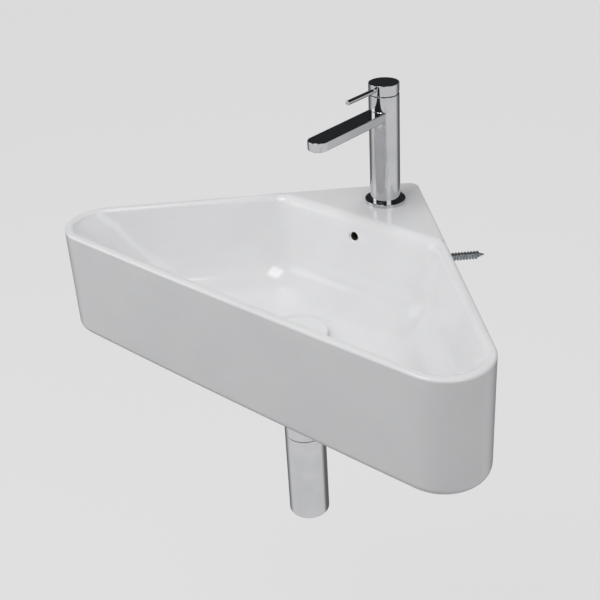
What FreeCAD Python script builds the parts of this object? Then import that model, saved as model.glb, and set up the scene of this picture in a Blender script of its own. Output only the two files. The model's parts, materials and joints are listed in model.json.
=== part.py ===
"""Wall-hung corner basin with its column tap, push-plug waste and cylinder trap.

Millimetres. +Z is up. The origin is where the two walls of the room meet, at the height of the rim.
The front faces -Y, the left wall runs along (-1, -1, 0) and the right wall along (1, -1, 0).
"""
import FreeCAD, Part
import math
import os

V = FreeCAD.Vector
ROOT2 = math.sqrt(2.0)

# --- basin ---
front_reach = 348.4        # room corner to the middle of the front edge
front_curve = 14600.0      # radius of the slightly bowed front
front_setback = 0.5        # how far the front leans back at the bottom
basin_height = 129.5
corner_radius = 47.5       # front corners, seen from above
back_corner_radius = 12.0  # corner towards the room corner
least_back_radius = 3.0    # where the wall is thicker than that corner's round
rim_width = 10.0
rim_outer_round = 3.0
rim_inner_round = 3.5
bottom_round = 10.0
under_bowl = 26.0          # bowl's floor down to the basin's bottom
bowl_depth = basin_height - under_bowl
bowl_lean = 17.0           # how far the bowl's walls lean in from rim to floor
bowl_back = 125.0          # room corner to the bowl's back edge
bowl_back_radius = 20.0    # bowl's back corners at the rim
bowl_floor_front_radius = 62.0
bowl_floor_back_radius = 45.0
bowl_floor_round = 35.0    # floor to walls
corner_share = 0.9         # most of a floor wall that a front corner's round may take
deck_thickness = 14.0
wall_panel = 12.0          # ceramic between the rear pocket and the room's walls
back_wall = 20.0           # rear pocket to the bowl's back edge
pocket_front = bowl_back - back_wall
lip_width = 25.0           # bottom edge round the underside recess
recess_depth = 8.0
cut_margin = 1.0           # how far cutting shapes run past a face
same_level = 1e-4          # heights this close count as one

# --- overflow ---
overflow_hole = 10.0
overflow_drop = 22.5       # below the rim
duct_bore = 9.0
duct_wall = 7.5            # ceramic between the rear pocket and the upright duct
duct_back = pocket_front + duct_wall + duct_bore / 2.0
floor_duct_bore = 8.0
floor_duct_depth = 10.0    # duct's axis below the bowl's floor
floor_duct_drop = bowl_depth + floor_duct_depth

# --- waste ---
waste_back = (bowl_back + front_reach - rim_width) / 2.0   # middle of the bowl
thread_gap = 0.05          # radial, between threads shown as plain faces
loose_gap = 0.3            # between pieces that move past each other
running_gap = 0.05         # radial, for a shaft in its bore
waste_thread = 41.9
waste_hole_gap = 2.05      # radial
waste_hole = waste_thread + 2.0 * waste_hole_gap
flange_overhang = 10.55    # flange past the thread, each side
waste_flange = waste_thread + 2.0 * flange_overhang
seat_clearance = 2.5       # radial, round the flange
seat_depth = 2.0           # waste recess below the bowl's floor
seat_diameter = waste_flange + 2.0 * seat_clearance
seat_flare = 12.0          # how much wider the recess is at the floor, each side
seat_headroom = 16.0       # kept clear over the floor, for the cover when it is up
waste_wall = 2.95
waste_bore = waste_thread - 2.0 * waste_wall
waste_flange_thickness = 2.0
throat_step = 1.0          # radial, throat to bore
waste_throat = waste_bore + 2.0 * throat_step
waste_tail = 41.0          # waste below the basin's bottom
waste_tube_end = basin_height + waste_tail
upper_seal_thickness = 1.0
upper_seal_width = 9.5
lower_seal_thickness = 4.0
lower_seal_width = 9.0
lower_seal_diameter = waste_thread + 2.0 * (thread_gap + lower_seal_width)
slip_washer_thickness = 2.0
slip_washer_width = 10.0
slip_washer_diameter = waste_thread + 2.0 * (thread_gap + slip_washer_width)
locknut_wall = 6.0
locknut_across = waste_thread + 2.0 * (thread_gap + locknut_wall)
locknut_height = 8.0
overflow_slots = 4
slot_width = 13.0
slot_height = 7.0
spider_depth = 23.0        # spider's underside below the bowl's floor
spider_drop = bowl_depth + spider_depth
spider_height = 8.0
spider_arm = 3.0
spider_arms = 3
spider_turn = 30.0         # degrees, first arm from +X

# --- push plug ---
cover_overhang = 0.5       # cover past the flange
cover_diameter = waste_flange + 2.0 * cover_overhang
cover_thickness = 4.0
cover_round = 1.6
cover_lift = 0.5           # gap over the waste's flange when shut
cover_socket = 12.0
cover_socket_depth = 2.0
carrier_gap = 2.0          # radial, carrier plate in the throat
carrier_plate = waste_throat - 2.0 * carrier_gap
carrier_plate_thickness = 2.2
stem_diameter = 8.0
stem_length_below = 19.0   # stem below the spider, when shut
stem_end = spider_drop + stem_length_below
seal_ring_width = 2.4
latch_room = 0.6           # radial, stem in the barrel
latch_bore = stem_diameter + 2.0 * latch_room
latch_wall = 1.9
latch_diameter = latch_bore + 2.0 * latch_wall
latch_depth = 28.0         # barrel below the spider
latch_bottom = spider_drop + latch_depth
hub_wall = 2.0
spider_hub = latch_diameter + 2.0 * hub_wall
latch_floor = 1.5
collar_width = 1.0
latch_collar = latch_diameter + 2.0 * collar_width
latch_collar_height = 2.0
spring_wire = 0.9
spring_turns = 4
spring_start = 37.0        # degrees, where the wire starts round the axis

# --- trap ---
trap_diameter = 48.0
trap_wall = 1.9
tube_diameter = 32.0
tube_wall = 1.2
inlet_seal_thickness = 3.0
inlet_collar_thickness = 1.0
inlet_nut_lip = 3.0
inlet_nut_wall = 4.0
inlet_nut_height = 22.0
inlet_nut_diameter = waste_thread + 2.0 * (thread_gap + inlet_nut_wall)
inlet_nut_bottom = waste_tube_end + inlet_seal_thickness + inlet_collar_thickness + inlet_nut_lip
inlet_nut_top = inlet_nut_bottom - inlet_nut_height
head_below_nut = 6.0
trap_head_top = inlet_nut_bottom + head_below_nut
trap_head_height = 50.4
trap_joint = trap_head_top + trap_head_height
trap_cup_length = 114.3    # joint line to the trap's bottom
trap_bottom = trap_joint + trap_cup_length
trap_bottom_thickness = 3.0
trap_edge = 1.0
trap_head_plate = 4.0
trap_neck = 11.5
joint_seal_thickness = 0.5
joint_seal_inset = 0.5
dip_clearance = 39.6       # inlet tube's end above the cup's floor
dip_end = trap_bottom - trap_bottom_thickness - dip_clearance
head_seal_thickness = 3.0
head_seal_width = 3.0
outlet_below_head = 22.0   # outlet's axis below the head's top
outlet_drop = trap_head_top + outlet_below_head
branch_length = 16.0
branch_wall = 2.2
branch_outer = tube_diameter + 2.0 * (thread_gap + branch_wall)
outlet_nut_wall = 3.7
outlet_nut_diameter = branch_outer + 2.0 * (thread_gap + outlet_nut_wall)
outlet_nut_length = 15.0
outlet_nut_lip = 3.0
outlet_seal_length = 4.0
outlet_overlap = 10.0      # tube inside the branch
outlet_in_wall = 50.0
rosette_width = 16.0
rosette_diameter = tube_diameter + 2.0 * rosette_width
rosette_depth = 9.0
rosette_edge = 3.0
rosette_shell = 1.5
wall_gap = 0.3

# --- wall fixing ---
fixing_along = 100.0       # room corner to a fixing, along its wall
fixing_drop = 55.0
bush_clearance = 0.1
bush_wall = 2.7
flange_width = 5.0
bush_flange_thickness = 2.5
stud_diameter = 10.0
stud_clearance = 0.2
stud_shank = 8.8
fixing_hole = stud_diameter + 2.0 * (stud_clearance + bush_wall + bush_clearance)
stud_in_wall = 60.0
stud_end = 31.0            # stud's inner end, from the wall
thread_chamfer = 1.0
bush_flange = fixing_hole + 2.0 * flange_width
washer_width = 6.0
fixing_washer_diameter = stud_diameter + 2.0 * washer_width
fixing_washer_thickness = 2.0
fixing_nut_across = 17.0
fixing_nut_height = 8.0

# --- tap: column and spout ---
tap_back = 66.0            # room corner to the tap's axis
tap_hole = 35.0
cartridge_bore = 28.0
column_wall = 3.5
column_diameter = cartridge_bore + 2.0 * column_wall
column_top = 132.0
column_edge = 0.4
base_ring_width = 6.5
base_ring_diameter = column_diameter + 2.0 * base_ring_width
base_ring_height = 4.0
base_ring_edge = 0.8
gasket_overhang = 3.5      # gasket past the column
gasket_diameter = column_diameter + 2.0 * gasket_overhang
gasket_bore = 30.0
gasket_thickness = 1.5
ring_clearance = 0.1
spout_reach = 129.5        # axis to the spout's tip
spout_width = 24.0
spout_drop = 28.0          # column's top down to the spout's underside
spout_bottom = column_top - spout_drop
spout_height = 10.3
spout_edge = 0.8
spout_duct = 7.0
inlet_spread = 6.2         # inlets, each side of the axis
inlet_forward = 3.0
inlet_bore = 6.0
hose_thread = 9.2
hose_thread_depth = 14.0
stud_hole_depth = 15.0

# --- aerator ---
aerator_diameter = 18.0
aerator_depth = 8.0
aerator_proud = 1.5
aerator_wall = 2.0
aerator_seal_thickness = 1.5
aerator_insert_height = 5.0
aerator_holes = 6
aerator_hole = 2.6
aerator_hole_circle = 4.2

# --- cartridge, from its seat up ---
cartridge_seal_thickness = 1.2
cartridge_seal_diameter = 22.0
cartridge_side_gap = 1.2   # radial, cartridge in the column
cartridge_diameter = cartridge_bore - 2.0 * cartridge_side_gap
cartridge_base_height = 4.8
fixed_disc_diameter = 21.0
fixed_disc_thickness = 3.0
disc_gap = 0.05
moving_disc_diameter = 15.0
moving_disc_thickness = 3.0
mixing_chamber = 10.0
mixing_chamber_depth = 1.2
outlet_port = 4.5
outlet_port_back = 6.6
carrier_thickness = 3.0
carrier_pocket_depth = 2.4
disc_room_gap = 0.95       # over the disc carrier
disc_room_wall = 1.2
disc_room_bore = cartridge_diameter - 2.0 * disc_room_wall
rotor_diameter = 18.7
rotor_neck = 15.6
rotor_neck_height = 2.8
pivot_rise = 9.7           # lever's pivot above the rotor's underside
shoulder_rise = 6.7        # rotor's shoulder above the pivot
housing_lip = 2.0
collar_side_gap = 0.1
housing_collar = cartridge_bore - 2.0 * collar_side_gap
housing_collar_height = 7.0
pivot_pin = 3.0
pivot_pin_end_gap = 0.4
post_width = 7.0
post_slot_swing = 7.3
tip_radius = 2.2
tip_neck = 3.4
cartridge_nut_height = 5.5
cartridge_nut_gap = 1.7    # radial, round the rotor's neck
cartridge_nut_bore = rotor_neck + 2.0 * cartridge_nut_gap
nut_recess = 2.7           # nut below the column's top
nut_key_slots = 4
nut_key_width = 3.0
nut_key_depth = 2.0

cartridge_nut_top = column_top - nut_recess
housing_top = cartridge_nut_top - cartridge_nut_height
housing_collar_bottom = housing_top - housing_collar_height
rotor_shoulder = housing_top - housing_lip - loose_gap
rotor_top = rotor_shoulder + rotor_neck_height
lift_pivot = rotor_shoulder - shoulder_rise
rotor_bottom = lift_pivot - pivot_rise
disc_room_top = rotor_bottom - loose_gap
carrier_top = disc_room_top - disc_room_gap
moving_disc_top = carrier_top - carrier_thickness
moving_disc_bottom = moving_disc_top - moving_disc_thickness
fixed_disc_top = moving_disc_bottom - disc_gap
cartridge_base_top = fixed_disc_top - fixed_disc_thickness
cartridge_seat = cartridge_base_top - cartridge_base_height - cartridge_seal_thickness

# --- lever ---
cap_diameter = column_diameter
cap_gap = 0.8              # cap over the column
cap_height = 12.4
cap_bottom = column_top + cap_gap
cap_top = cap_bottom + cap_height
cap_edge = 0.5
cap_roof = 4.6             # solid top over the lever's post
cap_socket_top = cap_top - cap_roof
post_top_gap = 0.1
post_top = cap_socket_top - post_top_gap
lift_angle = 18.0          # how far the lever tips back, degrees
cap_relief_gap = 0.3
rod_diameter = 5.4
rod_rise = 7.0             # rod's axis above the cap's underside
rod_height = cap_bottom + rod_rise
rod_tip = 67.0             # axis to the lever's tip
rod_root = 9.0
rod_tip_edge = 0.6
rod_dimple = 2.0
rod_dimple_depth = 0.8
cap_screw_diameter = 4.0
cap_screw_rise = 3.8
cap_screw_height = cap_bottom + cap_screw_rise
cap_screw_length = 13.0

# --- tap clamp under the deck ---
tap_stud_diameter = 8.0
tap_stud_behind = 10.5     # stud behind the tap's axis
tap_stud_below = 48.0      # stud below the deck's underside
tap_stud_bottom = deck_thickness + tap_stud_below
clamp_diameter = 46.0
clamp_seal_thickness = 3.0
clamp_plate_thickness = 2.0
clamp_notch_forward = 10.0
clamp_hose_gap = 0.25
clamp_hose_reach = math.hypot(inlet_spread, clamp_notch_forward - inlet_forward) + hose_thread / 2.0
clamp_notch = 2.0 * (clamp_hose_reach + clamp_hose_gap)
clamp_stud_clearance = 0.3
stud_nut_across = 13.0
stud_nut_height = 12.0

shapes = {}


# ---------------------------------------------------------------- plain shapes
def cylinder(diameter, bottom, top, x=0.0, y=0.0):
    return Part.makeCylinder(diameter / 2.0, top - bottom, V(x, y, bottom))


def tube(outer, inner, bottom, top, x=0.0, y=0.0):
    hole = cylinder(inner, bottom - cut_margin, top + cut_margin, x, y)
    return cylinder(outer, bottom, top, x, y).cut(hole)


def hexagon(across, bottom, top, x=0.0, y=0.0):
    corner = across / math.sqrt(3.0)
    angles = [math.radians(60 * i) for i in range(7)]
    points = [V(x + corner * math.cos(angle), y + corner * math.sin(angle), bottom) for angle in angles]
    return Part.Face(Part.makePolygon(points)).extrude(V(0, 0, top - bottom))


def block(width, depth, bottom, top, x=0.0, y=0.0):
    return Part.makeBox(width, depth, top - bottom, V(x - width / 2.0, y - depth / 2.0, bottom))


def rod(diameter, start, direction, length):
    return Part.makeCylinder(diameter / 2.0, length, start, direction)


def edges_at(shape, height):
    """Edges that lie flat at one height."""
    flat = []
    for edge in shape.Edges:
        box = edge.BoundBox
        if abs(box.ZMin - height) < same_level and abs(box.ZMax - height) < same_level:
            flat.append(edge)
    return flat


def round_edges(shape, radius, *heights):
    """Rounds the edges at each of these heights."""
    chosen = [edge for height in heights for edge in edges_at(shape, height)]
    return shape.makeFillet(radius, chosen)


def chamfer_edges(shape, size, *heights):
    chosen = [edge for height in heights for edge in edges_at(shape, height)]
    return shape.makeChamfer(size, chosen)


def beside_wall(side, along, out, height):
    """A point this far along a wall from the room corner and this far out of it; side is -1 left, 1 right."""
    return V(side * (along - out) / ROOT2, -(along + out) / ROOT2, height)


def into_room(side):
    """The direction straight out of a wall."""
    return V(-side / ROOT2, -1.0 / ROOT2, 0)


# ---------------------------------------------------------------- basin
def mirrored(point):
    return V(-point.x, point.y, point.z)


def front_corner(wall_inset, front_inset, radius, height):
    """Left front corner: where its round leaves the wall side, its middle, and where it meets the front."""
    centre_y = front_curve - front_reach
    reach = front_curve - front_inset
    offset = ROOT2 * (radius + wall_inset) + centre_y
    x = (offset - math.sqrt(2.0 * (reach - radius) ** 2 - offset ** 2)) / 2.0
    centre = V(x, x - ROOT2 * (radius + wall_inset), height)
    to_wall = V(-1.0 / ROOT2, 1.0 / ROOT2, 0)
    to_front = (centre - V(0, centre_y, height)).normalize()
    middle = (to_wall + to_front).normalize()
    return [centre + direction * radius for direction in (to_wall, middle, to_front)]


def back_arc(wall_inset, height):
    """Round corner towards the room corner: left end, middle and right end."""
    radius = max(back_corner_radius - wall_inset, least_back_radius)
    centre = V(0, -ROOT2 * (wall_inset + radius), height)
    left = centre + V(-radius / ROOT2, radius / ROOT2, 0)
    return left, centre + V(0, radius, 0), mirrored(left)


def bowl_corner(wall_inset, back, radius, height):
    """Left back corner of the bowl: on the back edge, its middle, and on the wall side."""
    centre_y = -back - radius
    centre = V(centre_y + ROOT2 * (wall_inset + radius), centre_y, height)
    to_back = V(0, 1, 0)
    to_wall = V(-1.0 / ROOT2, 1.0 / ROOT2, 0)
    middle = (to_back + to_wall).normalize()
    return [centre + direction * radius for direction in (to_back, middle, to_wall)]


def arc(points):
    return Part.Arc(*points).toShape()


def line(start, end):
    return Part.LineSegment(start, end).toShape()


def front_edges(wall_inset, front_inset, radius, height):
    """Both front corners and the bowed front between them, from the left wall to the right."""
    left = front_corner(wall_inset, front_inset, radius, height)
    right = [mirrored(point) for point in reversed(left)]
    middle = V(0, -front_reach + front_inset, height)
    return left, right, [arc(left), arc([left[2], middle, right[0]]), arc(right)]


def body_edges(wall_inset, front_inset, radius, height):
    back = back_arc(wall_inset, height)
    left, right, front = front_edges(wall_inset, front_inset, radius, height)
    return [arc(back), line(back[2], right[2]), *reversed(front), line(left[0], back[0])]


def bowl_edges(inset, radius, back, back_radius, height):
    corner = bowl_corner(inset, back, back_radius, height)
    other = [mirrored(point) for point in reversed(corner)]
    left, right, front = front_edges(inset, inset, radius, height)
    return [line(corner[0], other[2]), arc(other), line(other[0], right[2]), *reversed(front),
            line(left[0], corner[2]), arc(corner)]


def flat_face(edges):
    return Part.Face(Part.Wire(Part.__sortEdges__(edges)))


def prism(edges, length):
    return flat_face(edges).extrude(V(0, 0, length))


def between(top, bottom):
    """Solid between two outlines, with true planes for its flat walls."""
    loft = Part.makeLoft([Part.Wire(Part.__sortEdges__(edges)) for edges in (top, bottom)], True, True)
    faces = []
    for face in loft.Faces:
        plane = face.findPlane(same_level)
        faces.append(face if plane is None else Part.Face(plane, face.OuterWire))
    return Part.Solid(Part.Shell(faces))


def outer_block():
    top = body_edges(0.0, 0.0, corner_radius, 0.0)
    bottom = body_edges(0.0, front_setback, corner_radius, -basin_height)
    block_shape = between(top, bottom)
    block_shape = round_edges(block_shape, rim_outer_round, 0.0)
    return round_edges(block_shape, bottom_round, -basin_height)


def bowl_space():
    floor_inset = rim_width + bowl_lean
    floor_back = bowl_back + bowl_lean
    wall_length = ROOT2 * (front_reach - floor_inset - floor_back)
    half_turn = math.tan(math.radians(22.5))
    most = corner_share * (wall_length - bowl_floor_back_radius * half_turn) * half_turn
    top = bowl_edges(rim_width, corner_radius - rim_width, bowl_back, bowl_back_radius, 0.0)
    floor = bowl_edges(floor_inset, min(bowl_floor_front_radius, most), floor_back, bowl_floor_back_radius,
                       -bowl_depth)
    return round_edges(between(top, floor), bowl_floor_round, -bowl_depth)


def rear_pocket():
    """Open space under the deck, for the tap's clamp and the wall fixings."""
    outline = body_edges(wall_panel, wall_panel, corner_radius - wall_panel, -basin_height - cut_margin)
    space = prism(outline, basin_height + cut_margin - deck_thickness)
    keep = block(2.0 * front_reach, pocket_front, -basin_height - cut_margin, 0.0, 0.0, -pocket_front / 2.0)
    return space.common(keep)


def underside_recess():
    outline = body_edges(lip_width, lip_width + front_setback, corner_radius - wall_panel,
                         -basin_height - cut_margin)
    return prism(outline, recess_depth + cut_margin)


def waste_seat():
    floor = -bowl_depth
    seat = floor - seat_depth
    flare = Part.makeCone(seat_diameter / 2.0, seat_diameter / 2.0 + seat_flare, seat_depth,
                          V(0, -waste_back, seat))
    hole = cylinder(waste_hole, -basin_height - cut_margin, seat + cut_margin, 0.0, -waste_back)
    over = cylinder(seat_diameter + 2.0 * seat_flare, floor, floor + seat_headroom, 0.0, -waste_back)
    return flare.fuse([hole, over])


def overflow_duct():
    """Hole in the bowl's back wall, upright duct behind it and duct under the floor to the waste hole."""
    back_wall = bowl_back + bowl_lean
    hole = rod(overflow_hole, V(0, -duct_back, -overflow_drop), V(0, -1, 0), back_wall - duct_back)
    upright = cylinder(duct_bore, -floor_duct_drop, -overflow_drop, 0.0, -duct_back)
    under = rod(floor_duct_bore, V(0, -duct_back, -floor_duct_drop), V(0, -1, 0),
                waste_back - waste_hole / 2.0 - duct_back + cut_margin)
    return hole.fuse([upright, under])


def basin():
    body = outer_block().cut(bowl_space())
    inner_rim = [edge for edge in edges_at(body, 0.0) if on_bowl_rim(edge)]
    body = body.makeFillet(rim_inner_round, inner_rim)
    tap = cylinder(tap_hole, -deck_thickness - cut_margin, cut_margin, 0.0, -tap_back)
    cuts = [rear_pocket(), underside_recess(), waste_seat(), overflow_duct(), tap]
    for side in (-1, 1):
        start = beside_wall(side, fixing_along, -cut_margin, -fixing_drop)
        cuts.append(rod(fixing_hole, start, into_room(side), wall_panel + 2.0 * cut_margin))
    for tool in cuts:
        body = body.cut(tool)
    return body


def on_bowl_rim(edge):
    """True for the rim's inner edge: its middle is about a rim's width inside the outline."""
    middle = edge.valueAt((edge.FirstParameter + edge.LastParameter) / 2.0)
    from_wall = (-middle.y - abs(middle.x)) / ROOT2
    from_front = front_reach + middle.y
    return min(from_wall, from_front) > rim_width - rim_inner_round and middle.y < -back_corner_radius


# ---------------------------------------------------------------- wall fixing
def fixing_stack(side, inner_start, inner_end, outer, bore):
    """A ring on a fixing's axis between two distances from the wall."""
    start = beside_wall(side, fixing_along, inner_start, -fixing_drop)
    length = inner_end - inner_start
    solid = rod(outer, start, into_room(side), length)
    past = beside_wall(side, fixing_along, inner_start - cut_margin, -fixing_drop)
    return solid.cut(rod(bore, past, into_room(side), length + 2.0 * cut_margin))


def wall_bush(side):
    bore = stud_diameter + 2.0 * stud_clearance
    sleeve = fixing_stack(side, 0.0, wall_panel, fixing_hole - 2.0 * bush_clearance, bore)
    flange = fixing_stack(side, wall_panel, wall_panel + bush_flange_thickness, bush_flange, bore)
    return sleeve.fuse(flange).removeSplitter()


def threaded_end(side, start_out, end_out):
    start = beside_wall(side, fixing_along, start_out, -fixing_drop)
    end = rod(stud_diameter, start, into_room(side), end_out - start_out)
    return end.makeChamfer(thread_chamfer, [edge for edge in end.Edges if is_round(edge)])


def wall_stud(side):
    """Hanger bolt: wood thread in the wall, a thinner shank through the panel, machine thread inside."""
    shank_start = beside_wall(side, fixing_along, -thread_chamfer, -fixing_drop)
    shank = rod(stud_shank, shank_start, into_room(side), wall_panel + 2.0 * thread_chamfer)
    wall_end = threaded_end(side, -stud_in_wall, 0.0)
    return shank.fuse([wall_end, threaded_end(side, wall_panel, stud_end)]).removeSplitter()


def is_round(edge):
    return isinstance(edge.Curve, Part.Circle)


def fixing_nut(side, start_out):
    bore = stud_diameter + 2.0 * thread_gap
    flat = hexagon(fixing_nut_across, 0.0, fixing_nut_height)
    nut = flat.cut(cylinder(bore, -cut_margin, fixing_nut_height + cut_margin))
    turn = FreeCAD.Rotation(V(0, 0, 1), into_room(side))
    nut.Placement = FreeCAD.Placement(beside_wall(side, fixing_along, start_out, -fixing_drop), turn)
    return nut


def wall_fixings():
    washer_start = wall_panel + bush_flange_thickness
    nut_start = washer_start + fixing_washer_thickness
    washer_bore = stud_diameter + 2.0 * stud_clearance
    sides = (-1, 1)
    shapes["wall_bushes"] = Part.makeCompound([wall_bush(side) for side in sides])
    shapes["wall_studs"] = Part.makeCompound([wall_stud(side) for side in sides])
    shapes["fixing_washers"] = Part.makeCompound(
        [fixing_stack(side, washer_start, nut_start, fixing_washer_diameter, washer_bore) for side in sides])
    shapes["fixing_nuts"] = Part.makeCompound([fixing_nut(side, nut_start) for side in sides])


# ---------------------------------------------------------------- waste
def at_waste(shape_maker, *sizes):
    return shape_maker(*sizes, 0.0, -waste_back)


def waste_levels():
    """Heights of the seat, the flange's underside and top, and the underside of the floor."""
    seat = -bowl_depth - seat_depth
    under_flange = seat + upper_seal_thickness
    return seat, under_flange, under_flange + waste_flange_thickness, -basin_height + recess_depth


def waste_body():
    under_flange, top = waste_levels()[1:3]
    body = at_waste(cylinder, waste_flange, under_flange, top)
    body = round_edges(body, waste_flange_thickness / 2.0, top)
    body = body.fuse(at_waste(cylinder, waste_thread, -waste_tube_end, under_flange + cut_margin / 2.0))
    throat = at_waste(cylinder, waste_throat, under_flange - waste_flange_thickness, top + cut_margin)
    body = body.cut(throat)
    body = body.cut(at_waste(cylinder, waste_bore, -waste_tube_end - cut_margin, top))
    slot_middle = -floor_duct_drop
    for i in range(overflow_slots):
        slot = Part.makeBox(waste_thread, slot_width, slot_height,
                            V(0, -slot_width / 2.0, slot_middle - slot_height / 2.0))
        slot.rotate(V(0, 0, 0), V(0, 0, 1), 90.0 + i * 360.0 / overflow_slots)
        slot.translate(V(0, -waste_back, 0))
        body = body.cut(slot)
    spider = at_waste(cylinder, spider_hub, -spider_drop, -spider_drop + spider_height)
    for i in range(spider_arms):
        arm = Part.makeBox((waste_bore + waste_thread) / 4.0, spider_arm, spider_height,
                           V(0, -spider_arm / 2.0, -spider_drop))
        arm.rotate(V(0, 0, 0), V(0, 0, 1), spider_turn + i * 360.0 / spider_arms)
        arm.translate(V(0, -waste_back, 0))
        spider = spider.fuse(arm)
    body = body.fuse(spider)
    latch_hole = at_waste(cylinder, latch_diameter + 2.0 * thread_gap, -spider_drop - cut_margin,
                          -spider_drop + spider_height + cut_margin)
    shapes["waste_body"] = body.cut(latch_hole).removeSplitter()


def waste_clamp():
    seat, under_flange = waste_levels()[:2]
    underside = waste_levels()[3]
    seal_outer = waste_flange - 2.0 * loose_gap
    seal_bore = seal_outer - 2.0 * upper_seal_width
    shapes["waste_upper_seal"] = at_waste(tube, seal_outer, seal_bore, seat, under_flange)
    bore = waste_thread + 2.0 * thread_gap
    seal_bottom = underside - lower_seal_thickness
    washer_bottom = seal_bottom - slip_washer_thickness
    nut_bottom = washer_bottom - locknut_height
    shapes["waste_lower_seal"] = at_waste(tube, lower_seal_diameter, bore, seal_bottom, underside)
    shapes["waste_slip_washer"] = at_waste(tube, slip_washer_diameter, bore, washer_bottom, seal_bottom)
    nut = at_waste(hexagon, locknut_across, nut_bottom, washer_bottom)
    hole = at_waste(cylinder, bore, nut_bottom - cut_margin, washer_bottom + cut_margin)
    shapes["waste_locknut"] = nut.cut(hole)


def push_plug():
    """Cover, carrier with its stem and sealing ring: one unit that lifts out of the waste."""
    top = waste_levels()[2]
    cover_bottom = top + cover_lift
    cover_top = cover_bottom + cover_thickness
    cover = at_waste(cylinder, cover_diameter, cover_bottom, cover_top)
    cover = round_edges(cover, cover_round, cover_top)
    socket = at_waste(cylinder, cover_socket, cover_bottom - cut_margin, cover_bottom + cover_socket_depth)
    shapes["waste_cover"] = cover.cut(socket)
    plate_bottom = cover_bottom - carrier_plate_thickness
    carrier = at_waste(cylinder, carrier_plate, plate_bottom, cover_bottom)
    boss_top = cover_bottom + cover_socket_depth
    boss = at_waste(cylinder, cover_socket - 2.0 * thread_gap, cover_bottom, boss_top)
    stem = at_waste(cylinder, stem_diameter, -stem_end, plate_bottom)
    shapes["plug_carrier"] = carrier.fuse([boss, stem]).removeSplitter()
    throat_ledge = waste_levels()[1] - waste_flange_thickness
    seal_bore = carrier_plate - 2.0 * seal_ring_width
    shapes["plug_seal"] = at_waste(tube, waste_throat - 2.0 * loose_gap, seal_bore, throat_ledge + loose_gap,
                                   plate_bottom)


def push_latch():
    barrel_top = -spider_drop + spider_height + latch_collar_height
    barrel = at_waste(cylinder, latch_diameter, -latch_bottom, barrel_top)
    collar = at_waste(cylinder, latch_collar, barrel_top - latch_collar_height, barrel_top)
    barrel = barrel.fuse(collar)
    guide = at_waste(cylinder, stem_diameter + 2.0 * running_gap, -spider_drop, barrel_top + cut_margin)
    room = at_waste(cylinder, latch_bore, -latch_bottom + latch_floor, -spider_drop + cut_margin)
    shapes["latch_barrel"] = barrel.cut(guide.fuse(room)).removeSplitter()
    coil_radius = (latch_bore - spring_wire) / 2.0 - loose_gap
    bottom = -latch_bottom + latch_floor
    height = -stem_end - bottom
    pitch = (height - spring_wire) / spring_turns
    helix = Part.makeHelix(pitch, height - spring_wire, coil_radius)
    section = Part.Wire(Part.makeCircle(spring_wire / 2.0, V(coil_radius, 0, 0), V(0, 1, 0)))
    spring = Part.Wire(helix).makePipeShell([section], True, True)
    spring.rotate(V(0, 0, 0), V(0, 0, 1), spring_start)
    spring.translate(V(0, -waste_back, bottom + spring_wire / 2.0))
    shapes["latch_spring"] = spring


# ---------------------------------------------------------------- trap
def trap_inlet():
    lip_top = -inlet_nut_bottom + inlet_nut_lip
    tube_end = -waste_tube_end
    collar_top = tube_end - inlet_seal_thickness
    nut = at_waste(tube, inlet_nut_diameter, waste_thread + 2.0 * thread_gap, lip_top, -inlet_nut_top)
    lip = at_waste(tube, inlet_nut_diameter, tube_diameter + 2.0 * loose_gap, -inlet_nut_bottom, lip_top)
    shapes["trap_inlet_nut"] = nut.fuse(lip).removeSplitter()
    shapes["trap_inlet_seal"] = at_waste(tube, waste_thread, tube_diameter, collar_top, tube_end)
    bore = tube_diameter - 2.0 * tube_wall
    pipe = at_waste(tube, tube_diameter, bore, -dip_end, collar_top)
    collar = at_waste(tube, waste_thread, bore, lip_top, collar_top)
    shapes["trap_inlet_tube"] = pipe.fuse(collar).removeSplitter()


def towards_outlet():
    """Out of the trap, square to the left wall."""
    return V(-1.0 / ROOT2, 1.0 / ROOT2, 0)


def outlet_point(distance):
    """A point on the outlet's axis this far from the trap's axis."""
    return V(0, -waste_back, -outlet_drop) + towards_outlet() * distance


def outlet_ring(outer, inner, start, end):
    solid = rod(outer, outlet_point(start), towards_outlet(), end - start)
    bore_length = end - start + 2.0 * cut_margin
    return solid.cut(rod(inner, outlet_point(start - cut_margin), towards_outlet(), bore_length))


def trap_head():
    inner = trap_diameter - 2.0 * trap_wall
    shell = at_waste(cylinder, trap_diameter, -trap_joint, -trap_head_top)
    branch_end = trap_diameter / 2.0 + branch_length
    branch_bore = tube_diameter + 2.0 * thread_gap
    branch = rod(branch_outer, outlet_point(0.0), towards_outlet(), branch_end)
    head = chamfer_edges(shell, trap_edge, -trap_head_top).fuse(branch)
    head = head.cut(at_waste(cylinder, inner, -trap_joint - cut_margin, -trap_head_top - trap_head_plate))
    head = head.cut(rod(branch_bore, outlet_point(0.0), towards_outlet(), branch_end + cut_margin))
    neck = tube_diameter + 2.0 * loose_gap
    above = -trap_head_top + cut_margin
    head = head.cut(at_waste(cylinder, neck, -trap_head_top - trap_head_plate - cut_margin, above))
    groove = neck + 2.0 * head_seal_width
    groove_floor = -trap_head_top - head_seal_thickness
    head = head.cut(at_waste(cylinder, groove, groove_floor, above))
    shapes["trap_head"] = head.removeSplitter()
    shapes["trap_head_seal"] = at_waste(tube, groove, tube_diameter, groove_floor, -trap_head_top)


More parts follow.
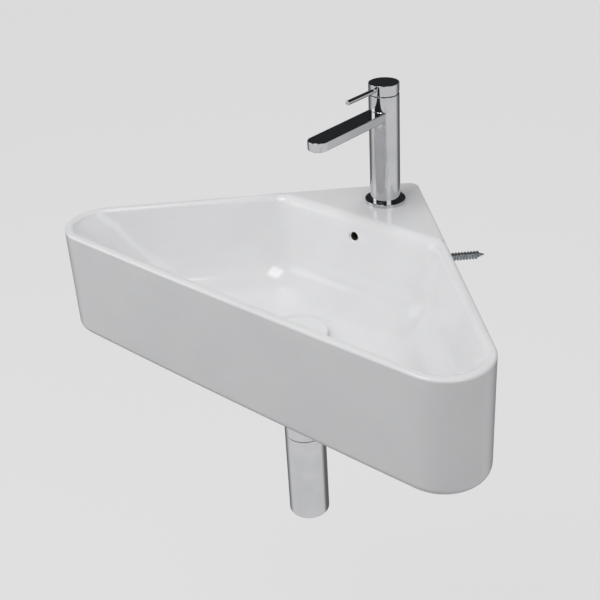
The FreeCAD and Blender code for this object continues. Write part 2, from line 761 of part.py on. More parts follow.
def trap_cup():
    joint_bottom = -trap_joint - joint_seal_thickness
    head_bore = trap_diameter - 2.0 * trap_wall
    neck_outer = head_bore - 2.0 * thread_gap
    neck_bore = neck_outer - 2.0 * trap_wall
    cup = at_waste(cylinder, trap_diameter, -trap_bottom, joint_bottom)
    cup = round_edges(cup, trap_edge, -trap_bottom)
    neck = at_waste(cylinder, neck_outer, joint_bottom, joint_bottom + trap_neck)
    cup_floor = -trap_bottom + trap_bottom_thickness
    hollow = at_waste(cylinder, neck_bore, cup_floor, joint_bottom + trap_neck + cut_margin)
    wide = at_waste(cylinder, head_bore, cup_floor, joint_bottom - trap_wall)
    shapes["trap_cup"] = cup.fuse(neck).cut(hollow).cut(wide).removeSplitter()
    seal_outer = trap_diameter - 2.0 * joint_seal_inset
    seal_bore = neck_outer + 2.0 * thread_gap
    shapes["trap_cup_seal"] = at_waste(tube, seal_outer, seal_bore, joint_bottom, -trap_joint)


def trap_outlet():
    branch_end = trap_diameter / 2.0 + branch_length
    seal_end = branch_end + outlet_seal_length
    nut_start = seal_end + outlet_nut_lip - outlet_nut_length
    body = outlet_ring(outlet_nut_diameter, branch_outer + 2.0 * thread_gap, nut_start, seal_end)
    lip_end = seal_end + outlet_nut_lip
    lip = outlet_ring(outlet_nut_diameter, tube_diameter + 2.0 * loose_gap, seal_end, lip_end)
    shapes["trap_outlet_nut"] = body.fuse(lip).removeSplitter()
    shapes["trap_outlet_seal"] = outlet_ring(branch_outer, tube_diameter, branch_end, seal_end)
    wall = waste_back / ROOT2
    shapes["outlet_tube"] = outlet_ring(tube_diameter, tube_diameter - 2.0 * tube_wall,
                                        branch_end - outlet_overlap, wall + outlet_in_wall)
    shapes["wall_rosette"] = wall_rosette(wall)


def wall_rosette(wall):
    """Domed cover ring on the outlet tube, flat on the wall."""
    edge = rosette_diameter / 2.0
    bore = tube_diameter / 2.0 + running_gap
    inner_edge = edge - rosette_shell
    flat = bore + rosette_shell
    profile = [V(edge, 0, 0), V(edge, 0, rosette_edge), V(flat, 0, rosette_depth), V(bore, 0, rosette_depth),
               V(bore, 0, rosette_depth - rosette_shell), V(inner_edge, 0, rosette_edge - rosette_shell),
               V(inner_edge, 0, 0), V(edge, 0, 0)]
    ring = Part.Face(Part.makePolygon(profile)).revolve(V(0, 0, 0), V(0, 0, 1), 360)
    turn = FreeCAD.Rotation(V(0, 0, 1), -towards_outlet())
    ring.Placement = FreeCAD.Placement(outlet_point(wall - wall_gap), turn)
    return ring


# ---------------------------------------------------------------- tap body
def at_tap(shape_maker, *sizes):
    return shape_maker(*sizes, 0.0, -tap_back)


def tap_point(right, behind, height):
    """A point given from the tap's axis at deck height."""
    return V(right, -tap_back + behind, height)


def tap_foot():
    gasket_room = gasket_diameter + 2.0 * ring_clearance
    ring = at_tap(cylinder, base_ring_diameter, 0.0, base_ring_height)
    ring = round_edges(ring, base_ring_edge, base_ring_height)
    ring = ring.cut(at_tap(cylinder, gasket_room, -cut_margin, gasket_thickness))
    bore = column_diameter + 2.0 * ring_clearance
    shapes["tap_base_ring"] = ring.cut(at_tap(cylinder, bore, -cut_margin, base_ring_height + cut_margin))
    shapes["tap_base_gasket"] = at_tap(tube, gasket_diameter, gasket_bore, 0.0, gasket_thickness)


def spout_bar():
    """Flat bar with a half-round end, from the column's axis to the tip."""
    half = spout_width / 2.0
    tip_centre = -spout_reach + half
    bar = Part.makeBox(spout_width, -tip_centre, spout_height, tap_point(-half, tip_centre, spout_bottom))
    top = spout_bottom + spout_height
    bar = bar.fuse(cylinder(spout_width, spout_bottom, top, 0.0, -tap_back + tip_centre)).removeSplitter()
    return chamfer_edges(bar, spout_edge, spout_bottom, top)


def aerator_axis():
    return -tap_back - spout_reach + spout_width / 2.0


def tap_body():
    column = at_tap(cylinder, column_diameter, gasket_thickness, column_top)
    column = chamfer_edges(column, column_edge, column_top)
    body = column.fuse(spout_bar())
    body = body.cut(at_tap(cylinder, cartridge_bore, cartridge_seat, column_top + cut_margin))
    duct_height = spout_bottom + spout_height / 2.0
    duct_start = tap_point(0.0, -cartridge_bore / 2.0 + cut_margin, duct_height)
    duct_length = spout_reach - (cartridge_bore + spout_width) / 2.0
    body = body.cut(rod(spout_duct, duct_start, V(0, -1, 0), duct_length))
    room_top = spout_bottom - aerator_proud + aerator_depth + aerator_seal_thickness
    body = body.cut(cylinder(aerator_diameter, spout_bottom - cut_margin, room_top, 0.0, aerator_axis()))
    thread_end = gasket_thickness + hose_thread_depth
    for right in (-inlet_spread, inlet_spread):
        place = (right, -tap_back - inlet_forward)
        body = body.cut(cylinder(inlet_bore, gasket_thickness, cartridge_seat + cut_margin, *place))
        body = body.cut(cylinder(hose_thread, gasket_thickness - cut_margin, thread_end, *place))
    stud = cylinder(tap_stud_diameter + 2.0 * thread_gap, gasket_thickness - cut_margin,
                    gasket_thickness + stud_hole_depth, 0.0, -tap_back + tap_stud_behind)
    shapes["tap_body"] = body.cut(stud)


def aerator():
    bottom = spout_bottom - aerator_proud
    top = bottom + aerator_depth
    outer = aerator_diameter - 2.0 * thread_gap
    inner = outer - 2.0 * aerator_wall
    place = (0.0, aerator_axis())
    shapes["aerator_housing"] = tube(outer, inner, bottom, top, *place)
    insert_bottom = bottom + aerator_proud
    insert_top = insert_bottom + aerator_insert_height
    insert = cylinder(inner - 2.0 * thread_gap, insert_bottom, insert_top, *place)
    spots = [(0.0, 0.0)] + [(aerator_hole_circle * math.cos(2.0 * math.pi * i / aerator_holes),
                             aerator_hole_circle * math.sin(2.0 * math.pi * i / aerator_holes))
                            for i in range(aerator_holes)]
    for x, y in spots:
        insert = insert.cut(cylinder(aerator_hole, insert_bottom - cut_margin, insert_top + cut_margin,
                                     x, aerator_axis() + y))
    shapes["aerator_insert"] = insert
    shapes["aerator_seal"] = tube(outer - thread_gap, inner, top, top + aerator_seal_thickness, *place)


# ---------------------------------------------------------------- cartridge
def with_ports(solid, bottom, top, port):
    """Cuts the two inlet ports through a flat cartridge piece."""
    for right in (-inlet_spread, inlet_spread):
        place = (right, -tap_back - inlet_forward)
        solid = solid.cut(cylinder(port, bottom - cut_margin, top + cut_margin, *place))
    return solid


def cartridge_foot():
    seal_top = cartridge_seat + cartridge_seal_thickness
    seal = at_tap(cylinder, cartridge_seal_diameter, cartridge_seat, seal_top)
    shapes["cartridge_seal"] = with_ports(seal, cartridge_seat, seal_top, inlet_bore)
    base = with_ports(at_tap(cylinder, cartridge_diameter, seal_top, cartridge_base_top), seal_top,
                      cartridge_base_top, inlet_bore)
    outlet_floor = cartridge_base_top - outlet_port
    way_out = Part.makeBox(outlet_port, cartridge_diameter, outlet_port + cut_margin,
                           tap_point(-outlet_port / 2.0, outlet_port_back - outlet_port / 2.0, outlet_floor))
    shapes["cartridge_base"] = base.cut(way_out)
    disc = with_ports(at_tap(cylinder, fixed_disc_diameter, cartridge_base_top, fixed_disc_top),
                      cartridge_base_top, fixed_disc_top, inlet_bore)
    port = cylinder(outlet_port, cartridge_base_top - cut_margin, fixed_disc_top + cut_margin, 0.0,
                    -tap_back + outlet_port_back)
    shapes["fixed_disc"] = disc.cut(port)


def sliding_disc():
    disc = at_tap(cylinder, moving_disc_diameter, moving_disc_bottom, moving_disc_top)
    chamber = at_tap(cylinder, mixing_chamber, moving_disc_bottom - cut_margin,
                     moving_disc_bottom + mixing_chamber_depth)
    shapes["moving_disc"] = disc.cut(chamber)
    carrier = at_tap(cylinder, moving_disc_diameter, moving_disc_top, carrier_top)
    pocket = at_tap(cylinder, 2.0 * (tip_radius + loose_gap), carrier_top - carrier_pocket_depth,
                    carrier_top + cut_margin)
    shapes["disc_carrier"] = carrier.cut(pocket)


def cartridge_housing():
    shell = at_tap(cylinder, cartridge_diameter, cartridge_base_top, housing_top)
    shell = shell.fuse(at_tap(cylinder, housing_collar, housing_collar_bottom, housing_top)).removeSplitter()
    rotor_bore = rotor_diameter + 2.0 * running_gap
    lip_bottom = rotor_shoulder + loose_gap
    shell = shell.cut(at_tap(cylinder, disc_room_bore, cartridge_base_top - cut_margin, disc_room_top))
    shell = shell.cut(at_tap(cylinder, rotor_bore, disc_room_top - cut_margin, lip_bottom))
    neck_bore = rotor_neck + 2.0 * loose_gap
    shapes["cartridge_housing"] = shell.cut(at_tap(cylinder, neck_bore, lip_bottom - cut_margin,
                                                   housing_top + cut_margin))


def cartridge_nut():
    outer = cartridge_bore - 2.0 * thread_gap
    nut = at_tap(tube, outer, cartridge_nut_bore, housing_top, cartridge_nut_top)
    for i in range(nut_key_slots):
        slot = Part.makeBox(outer, nut_key_width, nut_key_depth + cut_margin,
                            V(0, -nut_key_width / 2.0, cartridge_nut_top - nut_key_depth))
        slot.rotate(V(0, 0, 0), V(0, 0, 1), i * 360.0 / nut_key_slots + 360.0 / (2 * nut_key_slots))
        slot.translate(V(0, -tap_back, 0))
        nut = nut.cut(slot)
    shapes["cartridge_nut"] = nut


def rotor():
    """Turns with the lever in the housing and carries the pin that the lever tilts on."""
    body = at_tap(cylinder, rotor_diameter, rotor_bottom, rotor_shoulder)
    body = body.fuse(at_tap(cylinder, rotor_neck, rotor_shoulder, rotor_top))
    slot = at_tap(block, post_width + 2.0 * loose_gap, 2.0 * post_slot_swing, rotor_bottom - cut_margin,
                  rotor_top + cut_margin)
    body = body.cut(slot)
    pin_length = rotor_diameter - 2.0 * pivot_pin_end_gap
    pin = rod(pivot_pin, tap_point(-pin_length / 2.0, 0.0, lift_pivot), V(1, 0, 0), pin_length)
    hole = rod(pivot_pin, tap_point(-rotor_diameter, 0.0, lift_pivot), V(1, 0, 0), 2.0 * rotor_diameter)
    shapes["cartridge_rotor"] = body.cut(hole).removeSplitter()
    shapes["rotor_pin"] = pin


def spindle():
    """Square post on the pin, with a round tip below that pushes the disc carrier."""
    tip_height = carrier_top - carrier_pocket_depth + loose_gap + tip_radius
    post = at_tap(block, post_width, post_width, lift_pivot - post_width / 2.0, post_top)
    neck = at_tap(cylinder, tip_neck, tip_height, lift_pivot)
    tip = Part.makeSphere(tip_radius, tap_point(0.0, 0.0, tip_height))
    body = post.fuse([neck, tip])
    bore = rod(pivot_pin + 2.0 * running_gap, tap_point(-post_width, 0.0, lift_pivot), V(1, 0, 0),
               2.0 * post_width)
    shapes["lever_spindle"] = body.cut(bore).removeSplitter()


# ---------------------------------------------------------------- lever
def lever():
    cap = at_tap(cylinder, cap_diameter, cap_bottom, cap_top)
    cap = chamfer_edges(cap, cap_edge, cap_bottom, cap_top)
    socket_width = post_width + 2.0 * thread_gap
    cap = cap.cut(at_tap(block, socket_width, socket_width, cap_bottom - cut_margin, cap_socket_top))
    cap = cap.cut(cap_relief())
    rod_start = tap_point(0.0, -rod_root, rod_height)
    lever_pin = rod(rod_diameter, rod_start, V(0, -1, 0), rod_tip - rod_root)
    cap = cap.cut(rod(rod_diameter, rod_start, V(0, -1, 0), cap_diameter))
    tip = -tap_back - rod_tip
    tip_edges = [edge for edge in lever_pin.Edges if abs(edge.BoundBox.YMax - tip) < same_level]
    lever_pin = lever_pin.makeChamfer(rod_tip_edge, tip_edges)
    dimple = rod(rod_dimple, V(0, tip - cut_margin, rod_height), V(0, 1, 0), rod_dimple_depth + cut_margin)
    shapes["lever_rod"] = lever_pin.cut(dimple)
    screw_start = tap_point(-post_width / 2.0 - thread_gap, 0.0, cap_screw_height)
    cap = cap.cut(rod(cap_screw_diameter, screw_start, V(-1, 0, 0), cap_diameter))
    shapes["lever_cap"] = cap
    shapes["cap_screw"] = rod(cap_screw_diameter, screw_start, V(-1, 0, 0), cap_screw_length)


def cap_relief():
    """Wedge off the cap's rear underside, so that it clears the column when the lever tips back."""
    size = 4.0 * cap_diameter
    wedge_bottom = column_top + cap_relief_gap - size - lift_pivot
    wedge = Part.makeBox(size, size, size, V(-size / 2.0, -size / 2.0, wedge_bottom))
    wedge.rotate(V(0, 0, 0), V(1, 0, 0), lift_angle)
    wedge.translate(tap_point(0.0, 0.0, lift_pivot))
    return wedge


# ---------------------------------------------------------------- tap clamp
def clamp_shape(bottom, top):
    """Horseshoe that slips on round the hoses, with a hole for the stud."""
    plate = at_tap(cylinder, clamp_diameter, bottom, top)
    notch_y = -tap_back - clamp_notch_forward
    notch = cylinder(clamp_notch, bottom - cut_margin, top + cut_margin, 0.0, notch_y)
    mouth = block(clamp_notch, clamp_diameter, bottom - cut_margin, top + cut_margin, 0.0,
                  notch_y - clamp_diameter / 2.0)
    stud_bore = tap_stud_diameter + 2.0 * clamp_stud_clearance
    hole = cylinder(stud_bore, bottom - cut_margin, top + cut_margin, 0.0, -tap_back + tap_stud_behind)
    return plate.cut(notch.fuse(mouth)).cut(hole).removeSplitter()


def tap_clamp():
    seal_bottom = -deck_thickness - clamp_seal_thickness
    plate_bottom = seal_bottom - clamp_plate_thickness
    shapes["tap_clamp_seal"] = clamp_shape(seal_bottom, -deck_thickness)
    shapes["tap_clamp_plate"] = clamp_shape(plate_bottom, seal_bottom)
    place = (0.0, -tap_back + tap_stud_behind)
    stud_top = gasket_thickness + stud_hole_depth - cut_margin
    shapes["tap_stud"] = cylinder(tap_stud_diameter, -tap_stud_bottom, stud_top, *place)
    nut = hexagon(stud_nut_across, plate_bottom - stud_nut_height, plate_bottom, *place)
    bore = cylinder(tap_stud_diameter + 2.0 * thread_gap, plate_bottom - stud_nut_height - cut_margin,
                    plate_bottom + cut_margin, *place)
    shapes["tap_stud_nut"] = nut.cut(bore)


def build():
    shapes["basin_body"] = basin()
    wall_fixings()
    waste_body()
    waste_clamp()
    push_plug()
    push_latch()
    trap_inlet()
    trap_head()
    trap_cup()
    trap_outlet()
    tap_foot()
    tap_body()
    aerator()
    cartridge_foot()
    sliding_disc()
    cartridge_housing()
    cartridge_nut()
    rotor()
    spindle()
    lever()
    tap_clamp()
    os.makedirs("parts", exist_ok=True)
    for name, shape in shapes.items():
        shape.exportStep(os.path.join("parts", name + ".step"))
        print(f"{name}: {len(shape.Solids)} solid(s), {shape.Volume:.0f} mm3, valid {shape.isValid()}")


build()
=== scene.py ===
import json
import math

import bmesh
import bpy
from mathutils import Matrix, Vector


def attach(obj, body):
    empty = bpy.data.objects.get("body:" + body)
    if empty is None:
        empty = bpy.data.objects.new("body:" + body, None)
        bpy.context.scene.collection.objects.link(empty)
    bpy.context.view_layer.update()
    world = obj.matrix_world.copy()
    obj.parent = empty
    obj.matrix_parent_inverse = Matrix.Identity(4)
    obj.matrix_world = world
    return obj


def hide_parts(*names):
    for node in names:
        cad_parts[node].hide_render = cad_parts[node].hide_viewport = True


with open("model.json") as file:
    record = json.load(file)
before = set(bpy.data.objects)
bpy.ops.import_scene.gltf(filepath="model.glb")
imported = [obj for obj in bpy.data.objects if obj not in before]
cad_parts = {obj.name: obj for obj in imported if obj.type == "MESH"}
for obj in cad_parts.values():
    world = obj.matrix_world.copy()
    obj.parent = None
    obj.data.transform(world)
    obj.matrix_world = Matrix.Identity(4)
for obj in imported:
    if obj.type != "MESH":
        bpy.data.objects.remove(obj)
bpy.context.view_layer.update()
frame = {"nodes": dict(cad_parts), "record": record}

nodes = frame["nodes"]
mm = 0.001               # every size below is written in millimetres
rootTwo = math.sqrt(2)
print("frame loaded:", len(nodes), "nodes")


# materials: small tools

def hexColour(code):     # sRGB hex to the linear colour a socket takes
    parts = [int(code[i:i + 2], 16) / 255 for i in (1, 3, 5)]
    return [p / 12.92 if p <= 0.04045 else ((p + 0.055) / 1.055) ** 2.4 for p in parts] + [1.0]


def perMetre(size):      # pattern scale whose features are this many millimetres apart
    return 1 / (size * mm)


def addNode(tree, kind, settings, links=()):     # a socket goes by its name, or by number where names repeat
    node = tree.nodes.new(kind)
    for name, value in settings.items():
        if isinstance(name, str) and hasattr(node, name):
            setattr(node, name, value)
        else:
            node.inputs[name].default_value = value
    for name, socket in links:
        tree.links.new(socket, node.inputs[name])
    return node


def startMaterial(name):
    material = bpy.data.materials.new(name)
    material.use_nodes = True
    tree = material.node_tree
    tree.nodes.clear()
    place = addNode(tree, "ShaderNodeTexCoord", {}).outputs["Object"]
    return material, tree, place


def endMaterial(material, tree, settings, links):
    shader = addNode(tree, "ShaderNodeBsdfPrincipled", settings, links)
    addNode(tree, "ShaderNodeOutputMaterial", {}, [("Surface", shader.outputs["BSDF"])])
    return material


def cloudy(tree, place, size, low, high):        # soft patches of this size in mm, from low to high
    pattern = {"Scale": perMetre(size), "Detail": 3.0, "Roughness": 0.55}
    noise = addNode(tree, "ShaderNodeTexNoise", pattern, [("Vector", place)])
    levels = {"From Min": 0.3, "From Max": 0.7, "To Min": low, "To Max": high}
    spread = addNode(tree, "ShaderNodeMapRange", levels, [("Value", noise.outputs["Fac"])])
    return spread.outputs["Result"]


def fadeColour(tree, near, far, share):          # from one hex colour to another
    settings = {"data_type": "RGBA", 6: hexColour(near), 7: hexColour(far)}
    return addNode(tree, "ShaderNodeMix", settings, [("Factor", share)]).outputs[2]


def twoTone(tree, place, size, light, dark):     # a colour that drifts between two close hex values
    return fadeColour(tree, light, dark, cloudy(tree, place, size, 0.0, 1.0))


def grainBump(tree, place, size, strength, height, under=None, detail=2.0):      # size and height in mm
    pattern = {"Scale": perMetre(size), "Detail": detail}
    noise = addNode(tree, "ShaderNodeTexNoise", pattern, [("Vector", place)])
    links = [("Height", noise.outputs["Fac"])] + ([("Normal", under)] if under else [])
    bump = addNode(tree, "ShaderNodeBump", {"Strength": strength, "Distance": height * mm}, links)
    return bump.outputs["Normal"]


# materials: one for each finish on this basin

def glazedChina():       # vitreous china under a fired gloss glaze: neutral white, reflections waver a little
    look = {"white": "#F7F7F8", "shade": "#F2F2F4", "patch": 90, "gloss": (0.07, 0.11),
            "waver": 34, "waverHeight": 0.4, "waverStrength": 0.07,       # the glaze runs in slow waves
            "peel": 2.6, "peelHeight": 0.1, "peelStrength": 0.025}        # orange peel, coarse enough to show
    material, tree, place = startMaterial("glazedVitreousChina")
    colour = twoTone(tree, place, look["patch"], look["white"], look["shade"])
    gloss = cloudy(tree, place, look["patch"] / 3, *look["gloss"])
    wave = grainBump(tree, place, look["waver"], look["waverStrength"], look["waverHeight"], detail=1.0)
    skin = grainBump(tree, place, look["peel"], look["peelStrength"], look["peelHeight"], wave)
    return endMaterial(material, tree, {"IOR": 1.52, "Subsurface Weight": 0.08, "Subsurface Scale": 2 * mm},
                       [("Base Color", colour), ("Roughness", gloss), ("Normal", skin)])


def rawChina():          # where the glaze is wiped off before firing: matt, slightly warm, a fine grain
    material, tree, place = startMaterial("unglazedBisque")
    colour = twoTone(tree, place, 14, "#E4DFD3", "#D9D2C3")
    grain = grainBump(tree, place, 0.8, 0.25, 0.15, detail=4.0)
    return endMaterial(material, tree, {"Roughness": 0.85, "IOR": 1.5},
                       [("Base Color", colour), ("Normal", grain)])


def paintedShadowDuct():          # inside the overflow: bare; its near-black colour is painted shadow for the unlit depth of the duct
    material, tree, place = startMaterial("overflowDuctPaintedShadow")
    rough = cloudy(tree, place, 5, 0.7, 0.9)
    return endMaterial(material, tree, {"Base Color": hexColour("#35342F"), "IOR": 1.5},
                       [("Roughness", rough)])


grainHeight = 0.05       # mm, on metal and on mouldings


def metalFinish(name, bright, dull, patch, gloss, grain, depth, stretch=(1, 1, 1)):      # patch, grain in mm
    material, tree, place = startMaterial(name)
    colour = twoTone(tree, place, patch, bright, dull)
    rough = cloudy(tree, place, patch * 0.6, *gloss)
    lines = addNode(tree, "ShaderNodeMapping", {"Scale": stretch}, [("Vector", place)])
    skin = grainBump(tree, lines.outputs["Vector"], grain, depth, grainHeight, detail=3.0)
    return endMaterial(material, tree, {"Metallic": 1.0},
                       [("Base Color", colour), ("Roughness", rough), ("Normal", skin)])


def mouldedFinish(name, light, dark, patch, gloss, grain, depth, refraction):
    material, tree, place = startMaterial(name)
    colour = twoTone(tree, place, patch, light, dark)
    rough = cloudy(tree, place, patch * 0.5, *gloss)
    skin = grainBump(tree, place, grain, depth, grainHeight)
    return endMaterial(material, tree, {"IOR": refraction},
                       [("Base Color", colour), ("Roughness", rough), ("Normal", skin)])


finishes = {
    "white_glaze": glazedChina(),
    # chrome plate over polished brass: near mirror, cool, with the faint unevenness of hand buffing
    "chrome": metalFinish("polishedChromePlate", "#DADADC", "#CFD0D2", 40, (0.045, 0.085), 1.6, 0.02),
    # machined brass: warm yellow, turning marks, a little duller where it has been handled
    "brass": metalFinish("turnedBrass", "#D8B36A", "#BE9650", 9, (0.24, 0.36), 0.7, 0.25, (0.3, 0.3, 6)),
    # bright zinc plate: bluish grey with a mottled passivation bloom
    "zinc_steel": metalFinish("brightZincPlate", "#C3C8CC", "#A9AFB3", 5, (0.28, 0.42), 0.9, 0.2),
    # drawn stainless: neutral grey with a fine drawn grain
    "stainless": metalFinish("drawnStainlessSteel", "#BDBDBA", "#ACACA9", 8, (0.20, 0.30), 0.6, 0.2,
                             (1, 1, 0.15)),
    # moulded EPDM rubber: black, matt, with a fine skin
    "black_rubber": mouldedFinish("mouldedEpdmRubber", "#232324", "#1A1A1B", 6, (0.55, 0.72), 0.8, 0.25,
                                  1.52),
    # injection-moulded nylon: milky white, satin
    "white_nylon": mouldedFinish("mouldedNylon", "#E7E6DF", "#DEDDD4", 10, (0.36, 0.48), 1.2, 0.12, 1.53),
    # moulded acetal for the cartridge: mid grey, satin
    "grey_plastic": mouldedFinish("mouldedAcetal", "#8F9395", "#85898B", 8, (0.34, 0.46), 1.0, 0.12, 1.48),
    # lapped alumina discs: ivory, very flat and slightly glossy
    "alumina": mouldedFinish("lappedAlumina", "#EFEADD", "#E8E2D2", 6, (0.16, 0.24), 0.5, 0.08, 1.76),
}
bisque = rawChina()
# painted shadow: a near-black material for the inside of the overflow duct
ductShadow = paintedShadowDuct()
slotOf = {entry["node"]: entry["material_slot"] for entry in frame["record"]["subparts"]}
for nodeName, node in nodes.items():
    node.data.materials.clear()
    node.data.materials.append(finishes[slotOf[nodeName]])
print("materials made:", len(finishes) + 2)


# mesh: small tools

weld = 0.002             # vertices this close in mm are the same one


def newPiece(name, bm, body, node, looks=None, sharp=28):      # stands for this CAD node, takes its finish
    bmesh.ops.remove_doubles(bm, verts=bm.verts, dist=weld * mm)
    bmesh.ops.recalc_face_normals(bm, faces=bm.faces)
    mesh = bpy.data.meshes.new(name)
    bm.to_mesh(mesh)
    bm.free()
    for look in looks or [finishes[slotOf[node]]]:
        mesh.materials.append(look)
    mesh.shade_smooth()
    mesh.set_sharp_from_angle(angle=math.radians(sharp))
    piece = bpy.data.objects.new(name, mesh)
    bpy.context.scene.collection.objects.link(piece)
    even = piece.modifiers.new("evenShading", "WEIGHTED_NORMAL")     # flats stay flat beside their rounds
    even.keep_sharp = True
    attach(piece, body)
    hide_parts(node)
    return piece


def edgeRing(verts):     # the closed loop of edges that joins these vertices in order
    ring = []
    for a, b in zip(verts, verts[1:] + verts[:1]):
        ring.append(next(edge for edge in a.link_edges if edge.other_vert(a) is b))
    return ring


def startRing(bm, points):
    made = bmesh.ops.create_circle(bm, segments=len(points), radius=1)["verts"]
    for vert, point in zip(made, points):
        vert.co = Vector(point) * mm
    return made


def growRing(bm, verts, points):     # extrudes a ring and sets the new one on these points
    made = bmesh.ops.extrude_edge_only(bm, edges=edgeRing(verts))["geom"]
    fresh = {item for item in made if isinstance(item, bmesh.types.BMVert)}
    following = []
    for vert in verts:
        following.append(next(edge.other_vert(vert) for edge in vert.link_edges
                              if edge.other_vert(vert) in fresh))
    for vert, point in zip(following, points):
        vert.co = Vector(point) * mm
    return following


def upright(x, y, height=0.0):
    return Matrix.Translation(Vector((x, y, height)) * mm)


def alongWay(start, direction):      # turns +Z to point this way
    turn = Vector(direction).to_track_quat("Z", "Y").to_matrix().to_4x4()
    return Matrix.Translation(Vector(start) * mm) @ turn


def roughObject(name, bm):
    mesh = bpy.data.meshes.new(name)
    bmesh.ops.recalc_face_normals(bm, faces=bm.faces)
    bm.to_mesh(mesh)
    bm.free()
    item = bpy.data.objects.new(name, mesh)
    bpy.context.scene.collection.objects.link(item)
    return item


def borer(diameter, start, end, segments=64):    # a round tool from one point to another
    start, end = Vector(start), Vector(end)
    bm = bmesh.new()
    bmesh.ops.create_cone(bm, cap_ends=True, segments=segments, radius1=diameter / 2 * mm,
                          radius2=diameter / 2 * mm, depth=(end - start).length * mm,
                          matrix=alongWay((start + end) / 2, end - start))
    return roughObject("borer", bm)


def beam(width, depth, low, high, place=Matrix.Identity(4)):     # a square tool, centred on its place's axis
    bm = bmesh.new()
    size = Matrix.Diagonal((width * mm, depth * mm, (high - low) * mm, 1))
    bmesh.ops.create_cube(bm, size=1, matrix=place @ upright(0, 0, (low + high) / 2) @ size)
    return bm


def prismTool(points, low, high):
    bm = bmesh.new()
    ring = startRing(bm, raised(points, low))
    upper = growRing(bm, ring, raised(points, high))
    bm.faces.new(ring)
    bm.faces.new(upper)
    return roughObject("prismTool", bm)


def combined(piece, tools, merge=0.005):         # tools: (operation, object); the result as a bmesh
    for operation, tool in tools:
        work = piece.modifiers.new(operation, "BOOLEAN")
        work.operation, work.solver, work.object = operation, "EXACT", tool
    graph = bpy.context.evaluated_depsgraph_get()
    made = bpy.data.meshes.new_from_object(piece.evaluated_get(graph))
    for item in [piece] + [tool for _, tool in tools]:
        bpy.data.objects.remove(item)
    bm = bmesh.new()
    bm.from_mesh(made)
    bpy.data.meshes.remove(made)
    bmesh.ops.remove_doubles(bm, verts=bm.verts, dist=merge * mm)
    bmesh.ops.dissolve_degenerate(bm, dist=merge * mm, edges=bm.edges)
    return bm


def without(piece, tools, merge=0.005):
    return combined(piece, [("DIFFERENCE", tool) for tool in tools], merge)


def addTo(bm, other):                # joins a second bmesh into the first
    mesh = bpy.data.meshes.new("joined")
    other.to_mesh(mesh)
    other.free()
    bm.from_mesh(mesh)
    bpy.data.meshes.remove(mesh)


def softened(bm, edges, size, segments=3):
    bmesh.ops.bevel(bm, geom=edges, offset=size * mm, affect="EDGES", segments=segments, profile=0.5,
                    material=-1)


def creases(bm, least, chosen):      # sharp edges whose ends all pass a test, in millimetres
    return [edge for edge in bm.edges if edge.is_manifold and edge.calc_face_angle(0) > least
            and all(chosen(vert.co / mm) for vert in edge.verts)]


def turned(bm, profile, place=Matrix.Identity(4), steps=128, closed=False):      # (radius, height, round)
    old = set(bm.verts)
    line = [bm.verts.new((radius * mm, 0, height * mm)) for radius, height, _ in profile]
    for a, b in zip(line, line[1:] + (line[:1] if closed else [])):
        bm.edges.new((a, b))
    for vert, (_, _, size) in zip(line, profile):
        if size:
            bmesh.ops.bevel(bm, geom=[vert], offset=size * mm, affect="VERTICES", segments=4, profile=0.5,
                            material=-1)
    verts = [vert for vert in bm.verts if vert not in old]
    edges = list({edge for vert in verts for edge in vert.link_edges})
    bmesh.ops.spin(bm, geom=verts + edges, cent=(0, 0, 0), axis=(0, 0, 1), angle=2 * math.pi, steps=steps,
                   use_merge=True, use_duplicate=False)
    fresh = [vert for vert in bm.verts if vert not in old]
    bmesh.ops.transform(bm, matrix=place, verts=fresh)
    return fresh


def turnedSolid(name, profile, place, steps=144):
    bm = bmesh.new()
    turned(bm, profile, place, steps)
    bmesh.ops.remove_doubles(bm, verts=bm.verts, dist=weld * mm)
    return roughObject(name, bm)


ridge = {"sunk": 0.15, "shares": (0, 0.36, 0.5, 0.86)}      # into its shaft in mm, corners along the pitch


def thread(bm, root, crest, pitch, start, turns, place, steps=32):   # a closed ridge round its shaft
    coil = bmesh.new()
    low = root - ridge["sunk"]
    corners = zip((low, crest, crest, low), ridge["shares"])
    line = [coil.verts.new((radius * mm, 0, (start + share * pitch) * mm)) for radius, share in corners]
    edges = [coil.edges.new((a, b)) for a, b in zip(line, line[1:] + line[:1])]
    bmesh.ops.spin(coil, geom=line + edges, cent=(0, 0, 0), axis=(0, 0, 1), dvec=(0, 0, pitch * mm / steps),
                   angle=2 * math.pi, steps=steps, use_merge=False, use_duplicate=False)
    turn = coil.verts[:] + coil.edges[:] + coil.faces[:]
    for number in range(1, turns):
        copy = bmesh.ops.duplicate(coil, geom=turn)["geom"]
        verts = [item for item in copy if isinstance(item, bmesh.types.BMVert)]
        bmesh.ops.translate(coil, vec=(0, 0, number * pitch * mm), verts=verts)
    bmesh.ops.remove_doubles(coil, verts=coil.verts, dist=weld * mm)
    ends = [edge for edge in coil.edges if edge.is_boundary]
    bmesh.ops.holes_fill(coil, edges=ends, sides=4)
    bmesh.ops.recalc_face_normals(coil, faces=coil.faces)
    bmesh.ops.transform(coil, matrix=place, verts=coil.verts)
    addTo(bm, coil)


def hexNut(across, low, high, bore, place):      # its corners are turned off at both ends
    corner, cone = across / math.sqrt(3), across * 0.072
    inner, outer = across / 2 - 0.1, corner + 0.2        # just past the flats and the corners
    bm = bmesh.new()
    middle = upright(0, 0, (low + high) / 2) @ Matrix.Rotation(math.pi / 6, 4, "Z")
    bmesh.ops.create_cone(bm, cap_ends=True, segments=6, radius1=corner * mm, radius2=corner * mm,
                          depth=(high - low) * mm, matrix=place @ middle)
    prism = roughObject("nutPrism", bm)
    bm = bmesh.new()
    turned(bm, [(bore, low, 0), (inner, low, 0), (outer, low + cone, 0), (outer, high - cone, 0),
                (inner, high, 0), (bore, high, 0)], place, 72, True)
    return combined(prism, [("INTERSECT", roughObject("nutTurned", bm))])


